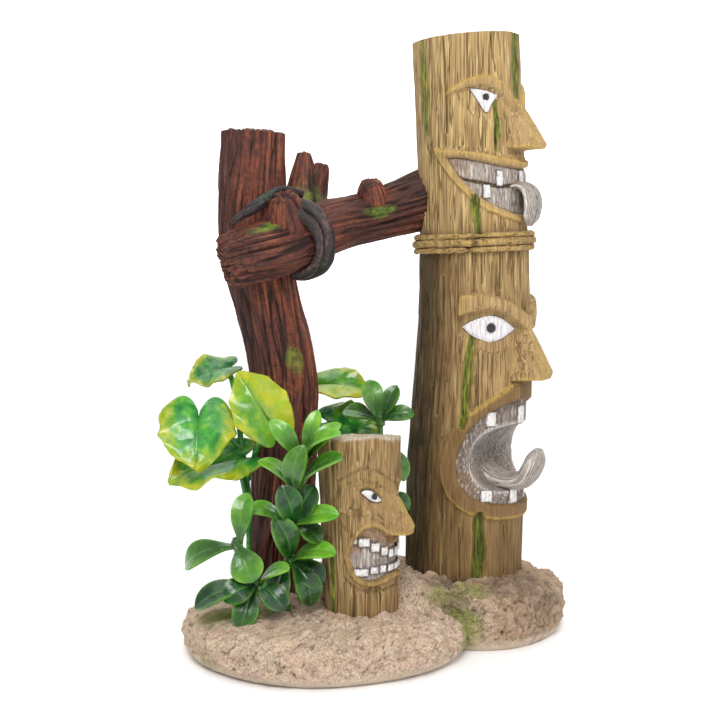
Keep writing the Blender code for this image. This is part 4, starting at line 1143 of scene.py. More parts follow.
def tiki_skin():
    skin = Skin(TIKI_LOG, 12.0, 74.0, 131, columns=230, step=0.38)
    skin.top_chalk = 0.95
    brow = skin.inside(outline_between(TIKI_BROW_TOP, TIKI_BROW_FOOT))
    socket = skin.near([(-66, 57.5), (-42, 56.5), (-22, 54.5)])
    skin.relief -= 0.8 * (1 - rise(socket, 2.0, 5.5)) * (1 - rise(brow, -0.5, 0.2))
    skin.paint("bare", 0.6 * (1 - rise(socket, 2.5, 5.0)))
    skin.plate(brow, 0.4, 0.9, bare=0.2)
    skin.relief -= 0.35 * np.exp(-((skin.near(TIKI_BROW_TOP) / 0.5) ** 2))
    skin.paint("groove", np.exp(-((skin.near(TIKI_BROW_TOP) / 0.45) ** 2)) * 0.6)
    skin.paint("edge", np.exp(-(((brow - 0.9) / 0.5) ** 2)) * 0.15)
    frame = skin.inside(TIKI_FRAME)
    mouth = skin.inside(TIKI_MOUTH)
    skin.plate(frame, 0.85, 0.8, bare=0.7)
    skin.relief -= 2.6 * rise(mouth, -0.3, 0.6)
    skin.paint("edge", np.exp(-(((frame - 0.6) / 0.6) ** 2)) * (1 - rise(mouth, -0.3, 0.2)) * 0.45)
    cheek = skin.near([(-98, 52), (-88, 47), (-78, 45)])
    skin.ridge([(-88, 52.5), (-72, 51.4), (-56, 51.8), (-40, 50.6), (-26, 48.4)], 0.7, 1.6)
    skin.relief -= 0.5 * (1 - rise(cheek, 0, 1.2))
    skin.paint("groove", 0.7 * (1 - rise(cheek, 0, 0.8)))
    crease = skin.near([(-84, 29), (-66, 25.8), (-40, 24.6), (-12, 25.4), (12, 26.0)])
    skin.relief -= 0.5 * (1 - rise(crease, 0, 1.1))
    skin.paint("groove", 0.8 * (1 - rise(crease, 0, 0.7)))
    lid = skin.near([(-62, 59.6), (-50, 60.8), (-38, 60.0), (-25, 57.0)])
    skin.ridge([(-62, 60.0), (-50, 61.0), (-38, 60.2), (-25, 57.4)], 0.55, 1.0)
    skin.paint("edge", 0.5 * (1 - rise(lid, 0, 0.7)))
    skin.nose(58.0, 46.4, 43.6, (2.0, 4.8), 6.8, bare=0.5)
    eyes = skin.inside([(a, z) for a, _, z in TIKI_EYE] + [(a, z) for a, z, _ in reversed(TIKI_EYE)])
    skin.relief -= 0.7 * rise(eyes, -0.4, 0.2)
    cracks = (
        ([(-100, 74), (-101, 50), (-98, 30), (-100, 14)], 0.6, 0.7),
        ([(-118, 74), (-117, 44), (-119, 14)], 0.6, 0.6),
        ([(-70, 27), (-72, 14)], 0.5, 0.6),
        ([(-30, 26), (-31, 14)], 0.4, 0.5),
        ([(-62, 74), (-62, 68)], 0.5, 0.6),
        ([(70, 27), (72, 14)], 0.4, 0.5),
    )
    skin.grain(0.65, cracks)
    # Brown paint all over, darker towards the foot, partly as painted shade; the dark mask is painted shade on
    # the tiki's left-hand back.
    skin.paint("brown", 0.45 + 0.25 * rise(-skin.z, -30, -12))
    skin.paint("dark", 0.6 * rise(-skin.angle, 105, 150) + 0 * skin.z)
    skin.paint("chalk", 0.9 * rise(skin.z + noise(skin.turned((3, 3)), 5), 72.2, 73.4))
    skin.moss([(-108, 40), (-107, 24), (-108, 12)], 1.2, 0.2)
    return skin


def small_tiki(wood, white, grey, looks):
    skin = tiki_skin()
    points, masks = skin.capped()
    x, y, _ = log_section(TIKI_LOG, 74.5)
    slant = 1.5 - 0.12 * (0.866 * (points[..., 0] - x) + 0.5 * (points[..., 1] - y))
    points[..., 2] += rise(points[..., 2], 63, 73.5) * slant
    new_object("tiki_skin", grid_mesh("tiki_skin", points, masks, wrap=True), wood, ["small_tiki_log"])
    eye("small_tiki_eye", TIKI_LOG, TIKI_EYE, (-38, 57.1), 1.15, -0.75, 0.5, white)
    top = [(a, z) for a, z in TIKI_MOUTH if z > 37]
    foot = [(a, z) for a, z in TIKI_MOUTH if z <= 37.4]
    top = np.array(sorted(top))
    foot = np.array(sorted(foot))
    angles = np.array([-79.5, -74, -66, -55, -40, -26, -12, 0])
    edges = [(a, np.interp(a, foot[:, 0], foot[:, 1]), np.interp(a, top[:, 0], top[:, 1])) for a in angles]
    gum = Plate(TIKI_LOG, mirrored(edges), 220, 60)
    gum.relief = 0.45 * layered(gum.spots((2.2, 1.6)), 141, 2) - 0.25 * rise(gum.rim, 0, 2.5)
    striated(gum, 0.7, 143, 0.16)
    gum.masks["ink"] = 1 - rise(gum.rim, 0.15, 0.6)
    gum.masks["warm"] = rise(gum.share, 0.45, 0.8)
    gum.made("tiki_gum", -1.1, 0.8, grey, ["small_tiki_mouth"])
    for side, mark in ((-1, "left"), (1, "right")):
        for i, (angle, *sizes) in enumerate(TIKI_TEETH):
            tooth(
                f"tiki_tooth_{mark}_{i}", TIKI_LOG, (side * angle, *sizes), -0.35, looks,
                ["small_tiki_mouth"],
            )


TIKI_TEETH = (
    (70.0, 41.0, 43.4, 11.5), (54.0, 40.2, 43.2, 17.5), (37.0, 38.3, 41.5, 14.5), (21.5, 36.7, 39.8, 13.5),
    (7.2, 35.6, 38.6, 12.6), (59.0, 30.2, 32.9, 23.0), (39.0, 30.8, 33.3, 13.5), (24.0, 31.0, 33.6, 12.8),
    (8.2, 31.0, 33.4, 14.4),
)


# Hoops, driftwood and lashings


def cord_look():
    """Dark twisted vine, a little brown on its high strands."""
    look = Look("dark_vine", 0.6)
    worn = look.noise(1.2, detail=4)
    dark = look.ramp(worn, (0.3, rgb(24, 18, 20)), (0.5, rgb(46, 36, 37)), (0.7, rgb(80, 62, 58)))
    crest = look.math("MULTIPLY", look.mask("crest"), look.spread(worn, 0.35, 0.6, 0.0, 0.6))
    dark = look.blend(crest, dark, rgb(112, 84, 76))
    dark = look.blend(look.math("MULTIPLY", look.mask("groove"), 0.85), dark, rgb(20, 16, 18))
    weed = look.math("MULTIPLY", look.mask("moss"), look.spread(worn, 0.35, 0.55))
    dark = look.blend(weed, dark, rgb(62, 92, 66))
    return look.done(dark, look.spread(worn, 0.3, 0.7, 0.42, 0.72), look.bump(look.noise(0.5), 0.12))


def driftwood_look():
    """Red-brown bark, almost black in its grooves, with orange dry-brushed ridges, green stains and painted shade
    by the dark mask.
    """
    look = Look("driftwood_bark", 0.62)
    look.shader.inputs["Specular IOR Level"].default_value = 0.3
    worn = look.noise(2.2, detail=5, roughness=0.6)
    fine = look.noise(0.6, detail=4)
    broad = look.noise(16.0, detail=3)
    bark = look.ramp(
        worn, (0.28, rgb(60, 30, 24)), (0.45, rgb(98, 52, 38)), (0.6, rgb(124, 66, 46)),
        (0.76, rgb(150, 82, 56))
    )
    bark = look.blend(look.spread(broad, 0.48, 0.68, 0.0, 0.5), bark, rgb(84, 56, 54))
    shade = look.math("MULTIPLY", look.mask("dark"), 0.8)
    bark = look.blend(shade, bark, rgb(52, 31, 30))
    glow = look.math("MULTIPLY", look.mask("crest"), look.spread(fine, 0.34, 0.6, 0.15))
    glow = look.math("MULTIPLY", glow, look.spread(broad, 0.62, 0.4, 0.25, 0.75))
    glow = look.math("MULTIPLY", glow, look.spread(look.mask("dark"), 0.3, 0.8, 1.0, 0.4))
    bark = look.blend(glow, bark, rgb(176, 104, 70))
    bark = look.blend(look.math("MULTIPLY", look.mask("groove"), 0.93), bark, rgb(28, 15, 13))
    weed = look.ramp(worn, (0.35, rgb(58, 84, 24)), (0.6, rgb(104, 142, 44)))
    stain = look.math("MULTIPLY", look.mask("moss"), look.spread(fine, 0.36, 0.56, 0.2))
    bark = look.blend(stain, bark, weed)
    normal = look.bump(worn, 0.25, look.bump(fine, 0.14))
    return look.done(bark, look.spread(worn, 0.3, 0.7, 0.46, 0.74), normal)


def hoops(wood):
    """Three paint-brushed cords round the joint between the logs, each a little uneven."""
    for i, (name, height, radius, thick) in enumerate(HOOPS):
        x, y, _ = log_section(LOWER_LOG, 139.0)
        turn, angle = np.meshgrid(
            np.linspace(0, 2 * math.pi, 420, endpoint=False), np.linspace(0, 360, 29)[:-1],
        )
        tilt = np.radians(angle)
        spot = np.stack([np.cos(turn) * 7, np.sin(turn) * 7, 0 * turn + 5 * i], -1)
        fibres = noise(np.stack([turn * 9, tilt * 1.6 + turn * 2, 0 * turn + i], -1), 151)
        wander = noise(spot * 0.5, 152 + i)
        splice = np.exp(-(((np.degrees(turn) - 302 + 6 * i) / 3.5) ** 2))
        size = thick + 0.14 * fibres + 0.12 * noise(spot * 1.7, 155) - 0.55 * splice * (i != 1)
        reach = LOWER_LOG[-1][3] + radius + 0.25 + size * np.cos(tilt)
        slope = 0.04 * (0.5 * np.sin(turn) + 0.866 * np.cos(turn)) * reach
        z = height - 0.5 + slope + 0.28 * wander + size * np.sin(tilt)
        points = np.stack([x + reach * np.sin(turn), y - reach * np.cos(turn), z], -1)
        points = np.concatenate([points, points[:1]])
        masks = {
            # The groove mask also darkens each cord away from its outward face, most where it lies against the
            # log, as painted shade.
            "groove": np.clip(rise(-fibres, 0.1, 0.5) * 0.8 + rise(-np.cos(tilt), -0.35, 0.3) + splice, 0, 1),
            "edge": rise(fibres + 0.4 * np.cos(tilt), 0.1, 0.6) * rise(np.cos(tilt), 0.3, 0.9) * 0.7,
            "bare": 0.5 + 0 * turn,
            "brown": 0.35 + 0 * turn,
        }
        masks = {key: np.concatenate([mask, mask[:1]]) for key, mask in masks.items()}
        new_object(name + "_cord", grid_mesh(name + "_cord", points, masks, wrap=True), wood, [name])


HOOPS = (
    ("vine_hoop_top", 143.1, 0.9, 1.05),
    ("vine_hoop_middle", 140.7, 1.2, 1.35),
    ("vine_hoop_bottom", 138.3, 0.9, 1.05),
)

POST = (
    (-5.5, 32.6, 6.3, 11.3), (-5.5, 32.5, 34.0, 11.5), (-4.6, 30.8, 64.0, 11.4), (-4.3, 30.5, 93.0, 11.5),
    (-8.3, 37.4, 125.0, 11.9), (-10.4, 41.1, 144.0, 12.1), (-9.7, 39.8, 178.4, 10.8),
)
BEAM = (
    (-31.2, 36.2, 133.6, 9.2), (-28.3, 32.8, 135.0, 10.0), (-19.4, 25.6, 138.0, 10.4),
    (-7.5, 19.0, 143.0, 9.6),
    (3.7, 12.6, 147.0, 9.2), (15.3, 6.0, 149.3, 8.8), (26.2, -0.6, 153.2, 9.6), (33.5, -6.6, 155.6, 11.2),
)
BRANCHES = (
    ("fork_prong_tall", 201, (
        (-4.2, 24.0, 143.0, 7.6), (2.0, 27.0, 152.0, 7.2), (5.2, 28.6, 161.0, 6.0), (7.4, 30.0, 171.6, 2.4))),
    ("fork_prong_short", 207, (
        (-3.2, 24.2, 143.0, 7.2), (4.6, 27.4, 152.0, 7.0), (9.0, 27.0, 159.6, 5.6),
        (12.0, 24.9, 167.6, 2.6))),
    ("broken_knob", 213, ((-12.0, 24.0, 140.0, 9.4), (-15.6, 22.4, 148.2, 9.2), (-20.4, 20.8, 155.6, 4.6))),
    ("small_knob", 219, ((14.6, 5.8, 150.0, 6.2), (11.4, 4.4, 155.8, 6.6), (8.6, 3.0, 160.8, 3.4))),
)


def bark(bar, strength=1.0, twist=0.02, dark=None):
    """Long wavy ridges with deep grooves between them."""
    sway = 0.3 * noise(bar.spots(14, 34), bar.seed + 5)[..., None]
    ridges = noise(bar.spots(2.7, 40, twist) + sway, bar.seed)
    second = noise(bar.spots(1.3, 22, twist) + sway * 1.5, bar.seed + 1)
    fine = noise(bar.spots(0.65, 9, twist), bar.seed + 2)
    scored = noise(bar.spots(0.9, 30, twist) + sway * 2, bar.seed + 8)
    scores = np.exp(-((scored / 0.16) ** 2)) * rise(noise(bar.spots(3, 10), bar.seed + 9), -0.4, 0.2)
    lumps = layered(bar.spots(9, 24), bar.seed + 3, 2)
    cuts = np.exp(-((ridges / 0.085) ** 2)) * rise(noise(bar.spots(6, 18), bar.seed + 4), -0.4, 0.3)
    seams = np.exp(-((second / 0.12) ** 2)) * rise(noise(bar.spots(4, 12), bar.seed + 6), -0.3, 0.3)
    bar.relief = bar.relief + strength * (
        1.1 * lumps + 0.55 * abs(ridges) + 0.34 * second + 0.16 * fine - 0.8 * cuts - 0.4 * seams
        - 0.3 * scores
    )
    bar.masks["groove"] = np.clip(cuts + 0.6 * seams + 0.55 * scores + 0.25 * rise(-fine, 0.2, 0.6), 0, 1)
    bar.masks["crest"] = rise(second + 0.8 * fine + 0.4 * abs(ridges), 0.1, 0.8) * (1 - cuts)
    bar.masks["moss"] = np.zeros_like(bar.relief)
    bar.masks["dark"] = np.zeros_like(bar.relief) if dark is None else dark
    return bar


def on_bar(bar, distance, angle, long, round_size):
    """1 near a spot on the bar and 0 away from it."""
    turn = (bar.angle - angle + 180) % 360 - 180
    across = turn * float(bar.radius.mean()) * math.pi / 180
    away = np.hypot((bar.along - distance) / long, across / round_size)
    return 1 - rise(away + 0.35 * noise(bar.spots(2.5, 5), 230), 0.5, 1.0)


def driftwood(look):
    post = Bar(POST, 171, columns=280, towards=(0.0, 1.0, 0.0))
    # Painted shade: the dark mask darkens the post's back-left side, towards -X and +Y.
    facing = np.cos(np.radians(post.angle - 60.0))
    bark(post, 1.0, 0.008, dark=rise(facing, -0.1, 0.7) * 0.85)
    post.masks["moss"] = 0.7 * on_bar(post, 92, 300, 6, 3.6)
    points, masks = post.closed(post.points(), rough=(0.0, 1.3), rounding=(0.0, 0.10))
    new_object("post_bark", grid_mesh("post_bark", points, masks, wrap=True), look, ["driftwood_post"])
    beam = Bar(BEAM, 181, columns=240)
    # The beam is a little darker all along, and darker towards the totem as painted shade.
    bark(beam, 0.95, 0.006, dark=0.35 + 0.5 * rise(beam.along, 34, 52))
    beam.masks["moss"] = np.maximum(on_bar(beam, 18, 54, 12, 2.6), 0.7 * on_bar(beam, 56, 12, 8, 3))
    beam.relief = beam.relief - 0.8 * on_bar(beam, 18, 54, 14, 2.2)
    broken = rise(-beam.along, -16, -2)
    crumbs = abs(layered(beam.spots(3.2, 3.6), 191, 3))
    beam.relief = beam.relief + broken * (1.5 * crumbs - 0.6)
    beam.masks["groove"] = np.maximum(beam.masks["groove"], broken * rise(-crumbs, -0.12, -0.02))
    points, masks = beam.closed(beam.points(), rough=(2.3, 0.4), rounding=(0.26, 0.2))
    new_object("beam_bark", grid_mesh("beam_bark", points, masks, wrap=True), look, ["driftwood_beam"])
    for name, seed, path in BRANCHES:
        branch = Bar(path, seed, step=0.4, columns=96, towards=(0.0, 1.0, 0.0))
        bark(branch, 0.6, 0.01, dark=0.25 + 0 * branch.angle)
        if name.startswith("fork"):
            branch.masks["moss"] = rise(-branch.along, -22, -9) * rise(
                noise(branch.spots(3, 6), 9), -0.4, 0.2,
            )
        points, masks = branch.closed(branch.points(), rough=(0.0, 1.2), rounding=(0.2, 0.3))
        new_object(name, grid_mesh(name, points, masks, wrap=True), look, ["driftwood_beam"])


def beam_point(distance, angle, radius):
    """A point round the beam: distance along it from the broken end, angle (0 front, 90 top), radius."""
    points = [Vector(p[:3]) for p in BEAM_LINE]
    travelled = 0.0
    for a, b in zip(points, points[1:]):
        step = (b - a).length
        if travelled + step >= distance:
            break
        travelled += step
    along = (b - a).normalized()
    front = along.cross(Vector((0.0, 0.0, 1.0))).normalized()
    top = front.cross(along)
    turn = math.radians(angle)
    centre = a + along * (distance - travelled)
    return centre + (front * math.cos(turn) + top * math.sin(turn)) * radius


BEAM_LINE = (
    (-33.0, 38.4, 132.8), (-29.5, 34.0, 134.5), (-19.4, 25.6, 138.0), (-7.5, 19.0, 143.0),
    (3.7, 12.6, 147.0), (15.3, 6.0, 149.3), (28.2, -1.9, 154.0), (37.0, -8.0, 156.5),
)
LASHINGS = (
    ("vine_lashing_outer", 35.0, 5.5, 116, -106, 2.4, 241),
    ("vine_lashing_inner", 31.4, 5.5, 96, -98, 1.8, 247),
)


def twisted(bar, strands, pitch):
    """Strands that wind round a cord."""
    turn = np.radians(bar.angle) + bar.along * 2 * math.pi / pitch
    wave = np.cos(turn * strands)
    fibres = noise(bar.spots(0.8, 7, 2 * math.pi / pitch), bar.seed)
    bar.relief = bar.relief + bar.radius * 0.07 * wave + 0.2 * fibres + 0.35 * noise(
        bar.spots(3, 7), bar.seed + 1,
    )
    bar.masks["groove"] = np.clip(rise(-wave, 0.45, 0.95) + 0.6 * rise(-fibres, 0.15, 0.6), 0, 1)
    bar.masks["crest"] = rise(wave + 0.7 * fibres, 0.5, 1.1)
    bar.masks["moss"] = 0.5 * rise(noise(bar.spots(5, 9), bar.seed + 3), 0.3, 0.6)


def lashings(look):
    for name, front, drift, start, end, radius, seed in LASHINGS:
        path = []
        for i in range(15):
            angle = start + (end - start) * i / 14
            back = drift * (1.0 - math.cos(math.radians(angle)))
            path.append((*beam_point(front - back, angle, 10.2 + radius), radius))
        cord = Bar(path, seed, step=0.35, columns=44, towards=(0.8, -0.55, 0.2))
        twisted(cord, 2, 46.0)
        points, masks = cord.closed(cord.points(), rounding=(0.6, 0.6))
        new_object(name + "_cord", grid_mesh(name + "_cord", points, masks, wrap=True), look, [name])
    strap = Bar(STRAP, 251, step=0.3, columns=64, towards=(-0.7, -0.5, 0.5))
    twisted(strap, 1, 60.0)
    strap.relief = strap.relief + 0.35 * abs(noise(strap.spots(1.6, 5), 257))
    points, masks = strap.closed(strap.points(0.6), rounding=(0.3, 0.3))
    new_object(
        "vine_strap_cord", grid_mesh("vine_strap_cord", points, masks, wrap=True), look, ["vine_strap"],
    )


STRAP = (
    (-31.8, 33.4, 147.2, 1.2), (-28.4, 29.6, 150.6, 2.6), (-25.0, 26.8, 153.6, 3.0),
    (-20.4, 24.4, 156.6, 2.9),
    (-15.2, 23.2, 157.6, 2.7), (-10.0, 20.2, 156.4, 2.4),
)


# Sand base

BASE_LOBES = ((-13.0, 9.0, 48.0, 16.5), (35.0, -25.0, 33.0, 20.5), (15.0, 4.0, 34.0, 21.5))
BASE_CENTRE = (14.0, -8.0)


def sand_look():
    """Coarse pinkish-beige sand with painted shade in its pits and patches, a smoother pale foot, brown painted
    shade and moss.
    """
    look = Look("sand", 0.9)
    grains = look.noise(0.8, detail=5, roughness=0.7)
    broad = look.noise(9.0, detail=3)
    tiny = look.cells(0.8).outputs["Color"]
    sand = look.ramp(
        grains,
        (0.30, rgb(96, 74, 56)),
        (0.39, rgb(176, 148, 124)),
        (0.52, rgb(216, 190, 166)),
        (0.68, rgb(244, 228, 210)),
    )
    sand = look.blend(look.spread(broad, 0.35, 0.65, 0.0, 0.4), sand, rgb(212, 180, 150))
    sand = look.blend(0.14, sand, tiny, "SOFT_LIGHT")
    # Brown painted shade.
    sand = look.blend(look.math("MULTIPLY", look.mask("brown"), 0.6), sand, rgb(158, 128, 96))
    sand = look.blend(look.math("MULTIPLY", look.mask("rim"), 0.7), sand, rgb(224, 208, 188))
    sand = look.blend(look.math("MULTIPLY", look.mask("crest"), 0.55), sand, rgb(246, 232, 214))
    # Pits, cracks and shade patches darkened as painted shade.
    sand = look.blend(look.math("MULTIPLY", look.mask("pit"), 0.85), sand, rgb(74, 54, 38))
    weed = look.math("MULTIPLY", look.mask("moss"), look.spread(grains, 0.3, 0.56, 0.3))
    sand = look.blend(
        weed, sand, look.blend(look.spread(grains, 0.35, 0.6), rgb(84, 92, 26), rgb(150, 158, 70)),
    )
    normal = look.bump(grains, 0.55, look.bump(look.noise(0.4, detail=3), 0.15))
    return look.done(sand, look.spread(grains, 0.3, 0.7, 0.8, 0.97), normal)


LOBE_BLEND = 0.15  # how softly one lobe runs into the next


def base_field(x, y, z):
    """Negative inside the base's lobes, positive outside them."""
    nearest = None
    for cx, cy, radius, height in BASE_LOBES:
        turn = np.arctan2(y - cy, x - cx)
        wobble = 1.0 + 0.018 * np.sin(3 * turn + cx) + 0.012 * np.sin(5 * turn + cy)
        share = np.hypot(x - cx, y - cy) / (radius * wobble)
        level = z / height
        foot = np.clip((0.3 - level) / 0.3, 0, 1)
        field = share**4 + np.clip((level - 0.35) / 0.65, 0, None) ** 5 + 0.3 * foot**2 - 1
        if nearest is None:
            nearest = field
        else:
            mix = np.clip(0.5 + 0.5 * (nearest - field) / LOBE_BLEND, 0, 1)
            nearest = nearest + (field - nearest) * mix - LOBE_BLEND * mix * (1 - mix)
    return nearest


def sand_base(look):
    columns = 640
    turn = np.linspace(0, 2 * math.pi, columns, endpoint=False)
    starts = [(h, 0.0) for h in np.linspace(0, 8, 26)]
    starts += [(8.0, e) for e in np.linspace(0, 9, 20)[1:]]
    starts += [(8.0, math.degrees(math.atan2(9.0, r))) for r in np.arange(57.0, 0.3, -0.62)[1:]]
    start = np.array([s[0] for s in starts])[:, None]
    lift = np.radians([s[1] for s in starts])[:, None]
    way = np.stack(
        np.broadcast_arrays(np.cos(lift) * np.cos(turn), np.cos(lift) * np.sin(turn), np.sin(lift)), -1,
    )
    origin = np.stack(np.broadcast_arrays(BASE_CENTRE[0], BASE_CENTRE[1], start + 0 * turn), -1)
    near, far = np.zeros(way.shape[:2]), np.full(way.shape[:2], 110.0)
    for _ in range(26):
        middle = (near + far) / 2
        spot = origin + way * middle[..., None]
        outside = base_field(spot[..., 0], spot[..., 1], spot[..., 2]) > 0
        far = np.where(outside, middle, far)
        near = np.where(outside, near, middle)
    points = origin + way * near[..., None]
    across = np.roll(points, -1, axis=1) - np.roll(points, 1, axis=1)
    upward = np.gradient(points, axis=0)
    normal = np.cross(across, upward)
    normal /= np.maximum(np.linalg.norm(normal, axis=-1), 1e-9)[..., None]
    normal[-1] = (0.0, 0.0, 1.0)
    z = points[..., 2]
    calm = rise(z, 0.8, 5.0)
    lumps = layered(points / 11, 261, 2)
    clods = layered(points / 3.4, 263, 3)
    grit = 0.45 - np.minimum(pits(points / 1.25, 266), 0.8)
    ragged = 0.1 * noise(points / 0.8, 270)
    holes = 1 - rise(pits(points / 4.6, 269) + ragged + 0.1 * clods, 0.06, 0.2)
    dots = 1 - rise(pits(points / 1.7, 272) + ragged, 0.12, 0.24)
    log_rims = np.zeros_like(z)
    for log in (LOWER_LOG, TIKI_LOG):
        away = np.hypot(points[..., 0] - log[1][1], points[..., 1] - log[1][2]) - log[1][3]
        log_rims = np.maximum(log_rims, np.exp(-((away / 3.5) ** 2)))
    rubble = abs(layered(points / 6.5, 277, 2))
    crumbs = abs(noise(points / 2.6, 283))
    cracks = np.clip(rise(-rubble, -0.09, -0.015) + 0.5 * rise(-crumbs, -0.08, -0.01), 0, 1)
    push = calm * (1.7 * lumps + 2.2 * (rubble - 0.24) + 0.8 * (crumbs - 0.3) + 1.0 * clods + 0.7 * grit)
    push += calm * (0.9 * log_rims - 0.7 * holes - 0.4 * dots)
    push += (1 - calm) * 0.25 * clods * rise(z, 0.1, 1.0)
    points = points + normal * push[..., None]
    points[..., 2] = np.maximum(points[..., 2], 0.0)
    points[0, :, 2] = 0.0
    moss = np.zeros_like(z)
    for x, y, height, size, amount in BASE_MOSS:
        away = np.linalg.norm(points - np.array([x, y, height]), axis=-1) / size
        moss = np.maximum(moss, amount * (1 - rise(away + 0.25 * noise(points / 3.5, 275), 0.35, 1.0)))
    # Painted shade on the base's right-hand side, as the carved faces are seen, carried by the brown mask.
    right = rise(points[..., 0] - 0.6 * points[..., 1], 28, 42)
    # Painted shade patches round the plant stems and in front of and between the logs, carried by the pit mask.
    shade_patches = np.zeros_like(z)
    for x, y, height, size, amount in BASE_SHADE_PATCHES:
        away = np.linalg.norm(points - np.array([x, y, height]), axis=-1) / size
        shade_patches = np.maximum(shade_patches, amount * (1 - rise(away + 0.4 * noise(points / 2.5, 287), 0.4, 1.0)))
    masks = {
        # The pit mask is painted shade in holes, dots, cracks and hollows between clods, and in the shade
        # patches.
        "pit": np.clip(
            (holes + 0.9 * dots + 0.3 * cracks) * calm + 0.4 * rise(-clods, 0.25, 0.7) * calm + shade_patches, 0, 1,
        ),
        "crest": rise(clods + grit + rubble, 0.5, 1.1) * calm,
        "moss": moss * rise(z, 1.0, 3.0),
        # Brown mask: painted shade on the right-hand side and in a ring round the feet of the logs.
        "brown": np.clip(0.95 * right + 0.5 * log_rims, 0, 1) * calm,
        "rim": 1 - calm,
    }
    ends = []
    for share in (0.66, 0.33, 0.02):
        row = points[0] * share + np.array([*BASE_CENTRE, 0.0]) * (1 - share)
        ends.insert(0, row)
    points = np.concatenate([ends, points])
    masks = {key: np.concatenate([np.repeat(m[:1], 3, axis=0), m]) for key, m in masks.items()}
    new_object("sand_mound", grid_mesh("sand_mound", points, masks, wrap=True), look, ["sand_base"])


# Painted shade patches: x, y, height, size and amount.
BASE_SHADE_PATCHES = (
    (6.0, -32.0, 13.0, 11.0, 0.75),
    (14.0, -22.0, 17.0, 9.0, 0.7),
    (30.0, -44.0, 14.0, 20.0, 0.55),
    (-31.0, 16.0, 17.0, 9.0, 0.7),
    (-44.0, 26.0, 15.0, 7.0, 0.6),
    (20.0, -38.0, 15.0, 7.0, 0.5),
    (-22.0, 35.0, 17.0, 8.0, 0.6),
)
BASE_MOSS = (
    (3.0, -36.0, 8.0, 11.0, 0.85),
    (-1.0, -38.0, 4.0, 7.0, 0.6),
    (-55.0, 26.0, 3.0, 7.0, 0.5),
    (14.0, -34.0, 14.0, 11.0, 0.95),
    (7.0, -26.0, 17.0, 8.0, 0.8),
    (24.0, -44.0, 12.0, 8.0, 0.6),
    (-45.0, 31.0, 13.5, 10.0, 0.9),
    (-50.0, 24.0, 7.0, 8.0, 0.7),
    (-38.0, 20.0, 17.0, 9.0, 0.7),
    (4.0, 46.0, 14.0, 10.0, 0.6),
)


# Plants


def glossy_look():
    """Thick glossy plastic: dark green, paler and yellower towards the tips and along the margins."""
    look = Look("glossy_leaf", 0.25)
    cloud = look.noise(5.0, detail=3)
    green = look.ramp(cloud, (0.3, rgb(5, 36, 12)), (0.5, rgb(11, 60, 20)), (0.72, rgb(26, 92, 28)))
    fresh = look.blend(look.spread(cloud, 0.3, 0.7), rgb(80, 160, 42), rgb(136, 192, 50))
    green = look.blend(look.mask("fresh"), green, fresh)
    green = look.blend(look.math("MULTIPLY", look.mask("vein"), 0.4), green, rgb(110, 170, 70))
    green = look.blend(look.math("MULTIPLY", look.mask("margin"), 0.14), green, rgb(140, 190, 66))
    rough = look.spread(look.noise(2.5, detail=3), 0.3, 0.7, 0.2, 0.36)
    look.shader.inputs["Coat Weight"].default_value = 0.25
    look.shader.inputs["Coat Roughness"].default_value = 0.15
    look.shader.inputs["Subsurface Weight"].default_value = 0.06
    look.shader.inputs["Subsurface Radius"].default_value = (0.002, 0.004, 0.001)
    return look.done(green, rough, look.bump(look.noise(1.4, detail=2), 0.10))


def heart_look():
    """Variegated plastic leaf: green in the middle and yellow towards the margin."""
    look = Look("heart_leaf", 0.25)
    cloud = look.noise(4.0, detail=4, roughness=0.6)
    green = look.ramp(cloud, (0.3, rgb(24, 112, 38)), (0.5, rgb(56, 150, 44)), (0.7, rgb(108, 180, 48)))
    yellow = look.blend(look.spread(cloud, 0.35, 0.65), rgb(150, 180, 30), rgb(188, 182, 28))
    mixed = look.math("ADD", look.mask("margin"), look.spread(cloud, 0.3, 0.7, -0.3, 0.3))
    leaf = look.blend(look.spread(mixed, 0.1, 1.1), green, yellow)
    leaf = look.blend(look.math("MULTIPLY", look.mask("golden"), 0.85), leaf, yellow)
    leaf = look.blend(
        look.math("MULTIPLY", look.mask("deep"), look.spread(cloud, 0.6, 0.4, 0.4, 1.0)), leaf,
        rgb(18, 96, 36),
    )
    leaf = look.blend(look.math("MULTIPLY", look.mask("vein"), 0.5), leaf, rgb(30, 104, 40))
    rough = look.spread(look.noise(2.5, detail=3), 0.3, 0.7, 0.2, 0.38)
    look.shader.inputs["Coat Weight"].default_value = 0.3
    look.shader.inputs["Coat Roughness"].default_value = 0.12
    look.shader.inputs["Subsurface Weight"].default_value = 0.08
    look.shader.inputs["Subsurface Radius"].default_value = (0.003, 0.003, 0.001)
    return look.done(leaf, rough, look.bump(look.noise(1.6, detail=3), 0.12))


def leaf_frame(start, tip, facing, roll):
    start, tip = np.array(start, dtype=float), np.array(tip, dtype=float)
    along = (tip - start) / np.linalg.norm(tip - start)
    side = np.cross(along, facing)
    side /= np.linalg.norm(side)
    face = np.cross(side, along)
    turn = math.radians(roll)
    side, face = side * math.cos(turn) + face * math.sin(turn), face * math.cos(turn) - side * math.sin(turn)
    return start, tip, side, face


OVAL = (
    (0.0, 0.2), (0.12, 0.28), (0.26, 0.52), (0.44, 0.84), (0.62, 1.0), (0.78, 0.97), (0.9, 0.76),
    (0.97, 0.44),
    (1.0, 0.14),
)
FACING = (-0.5, -0.33, 0.8)


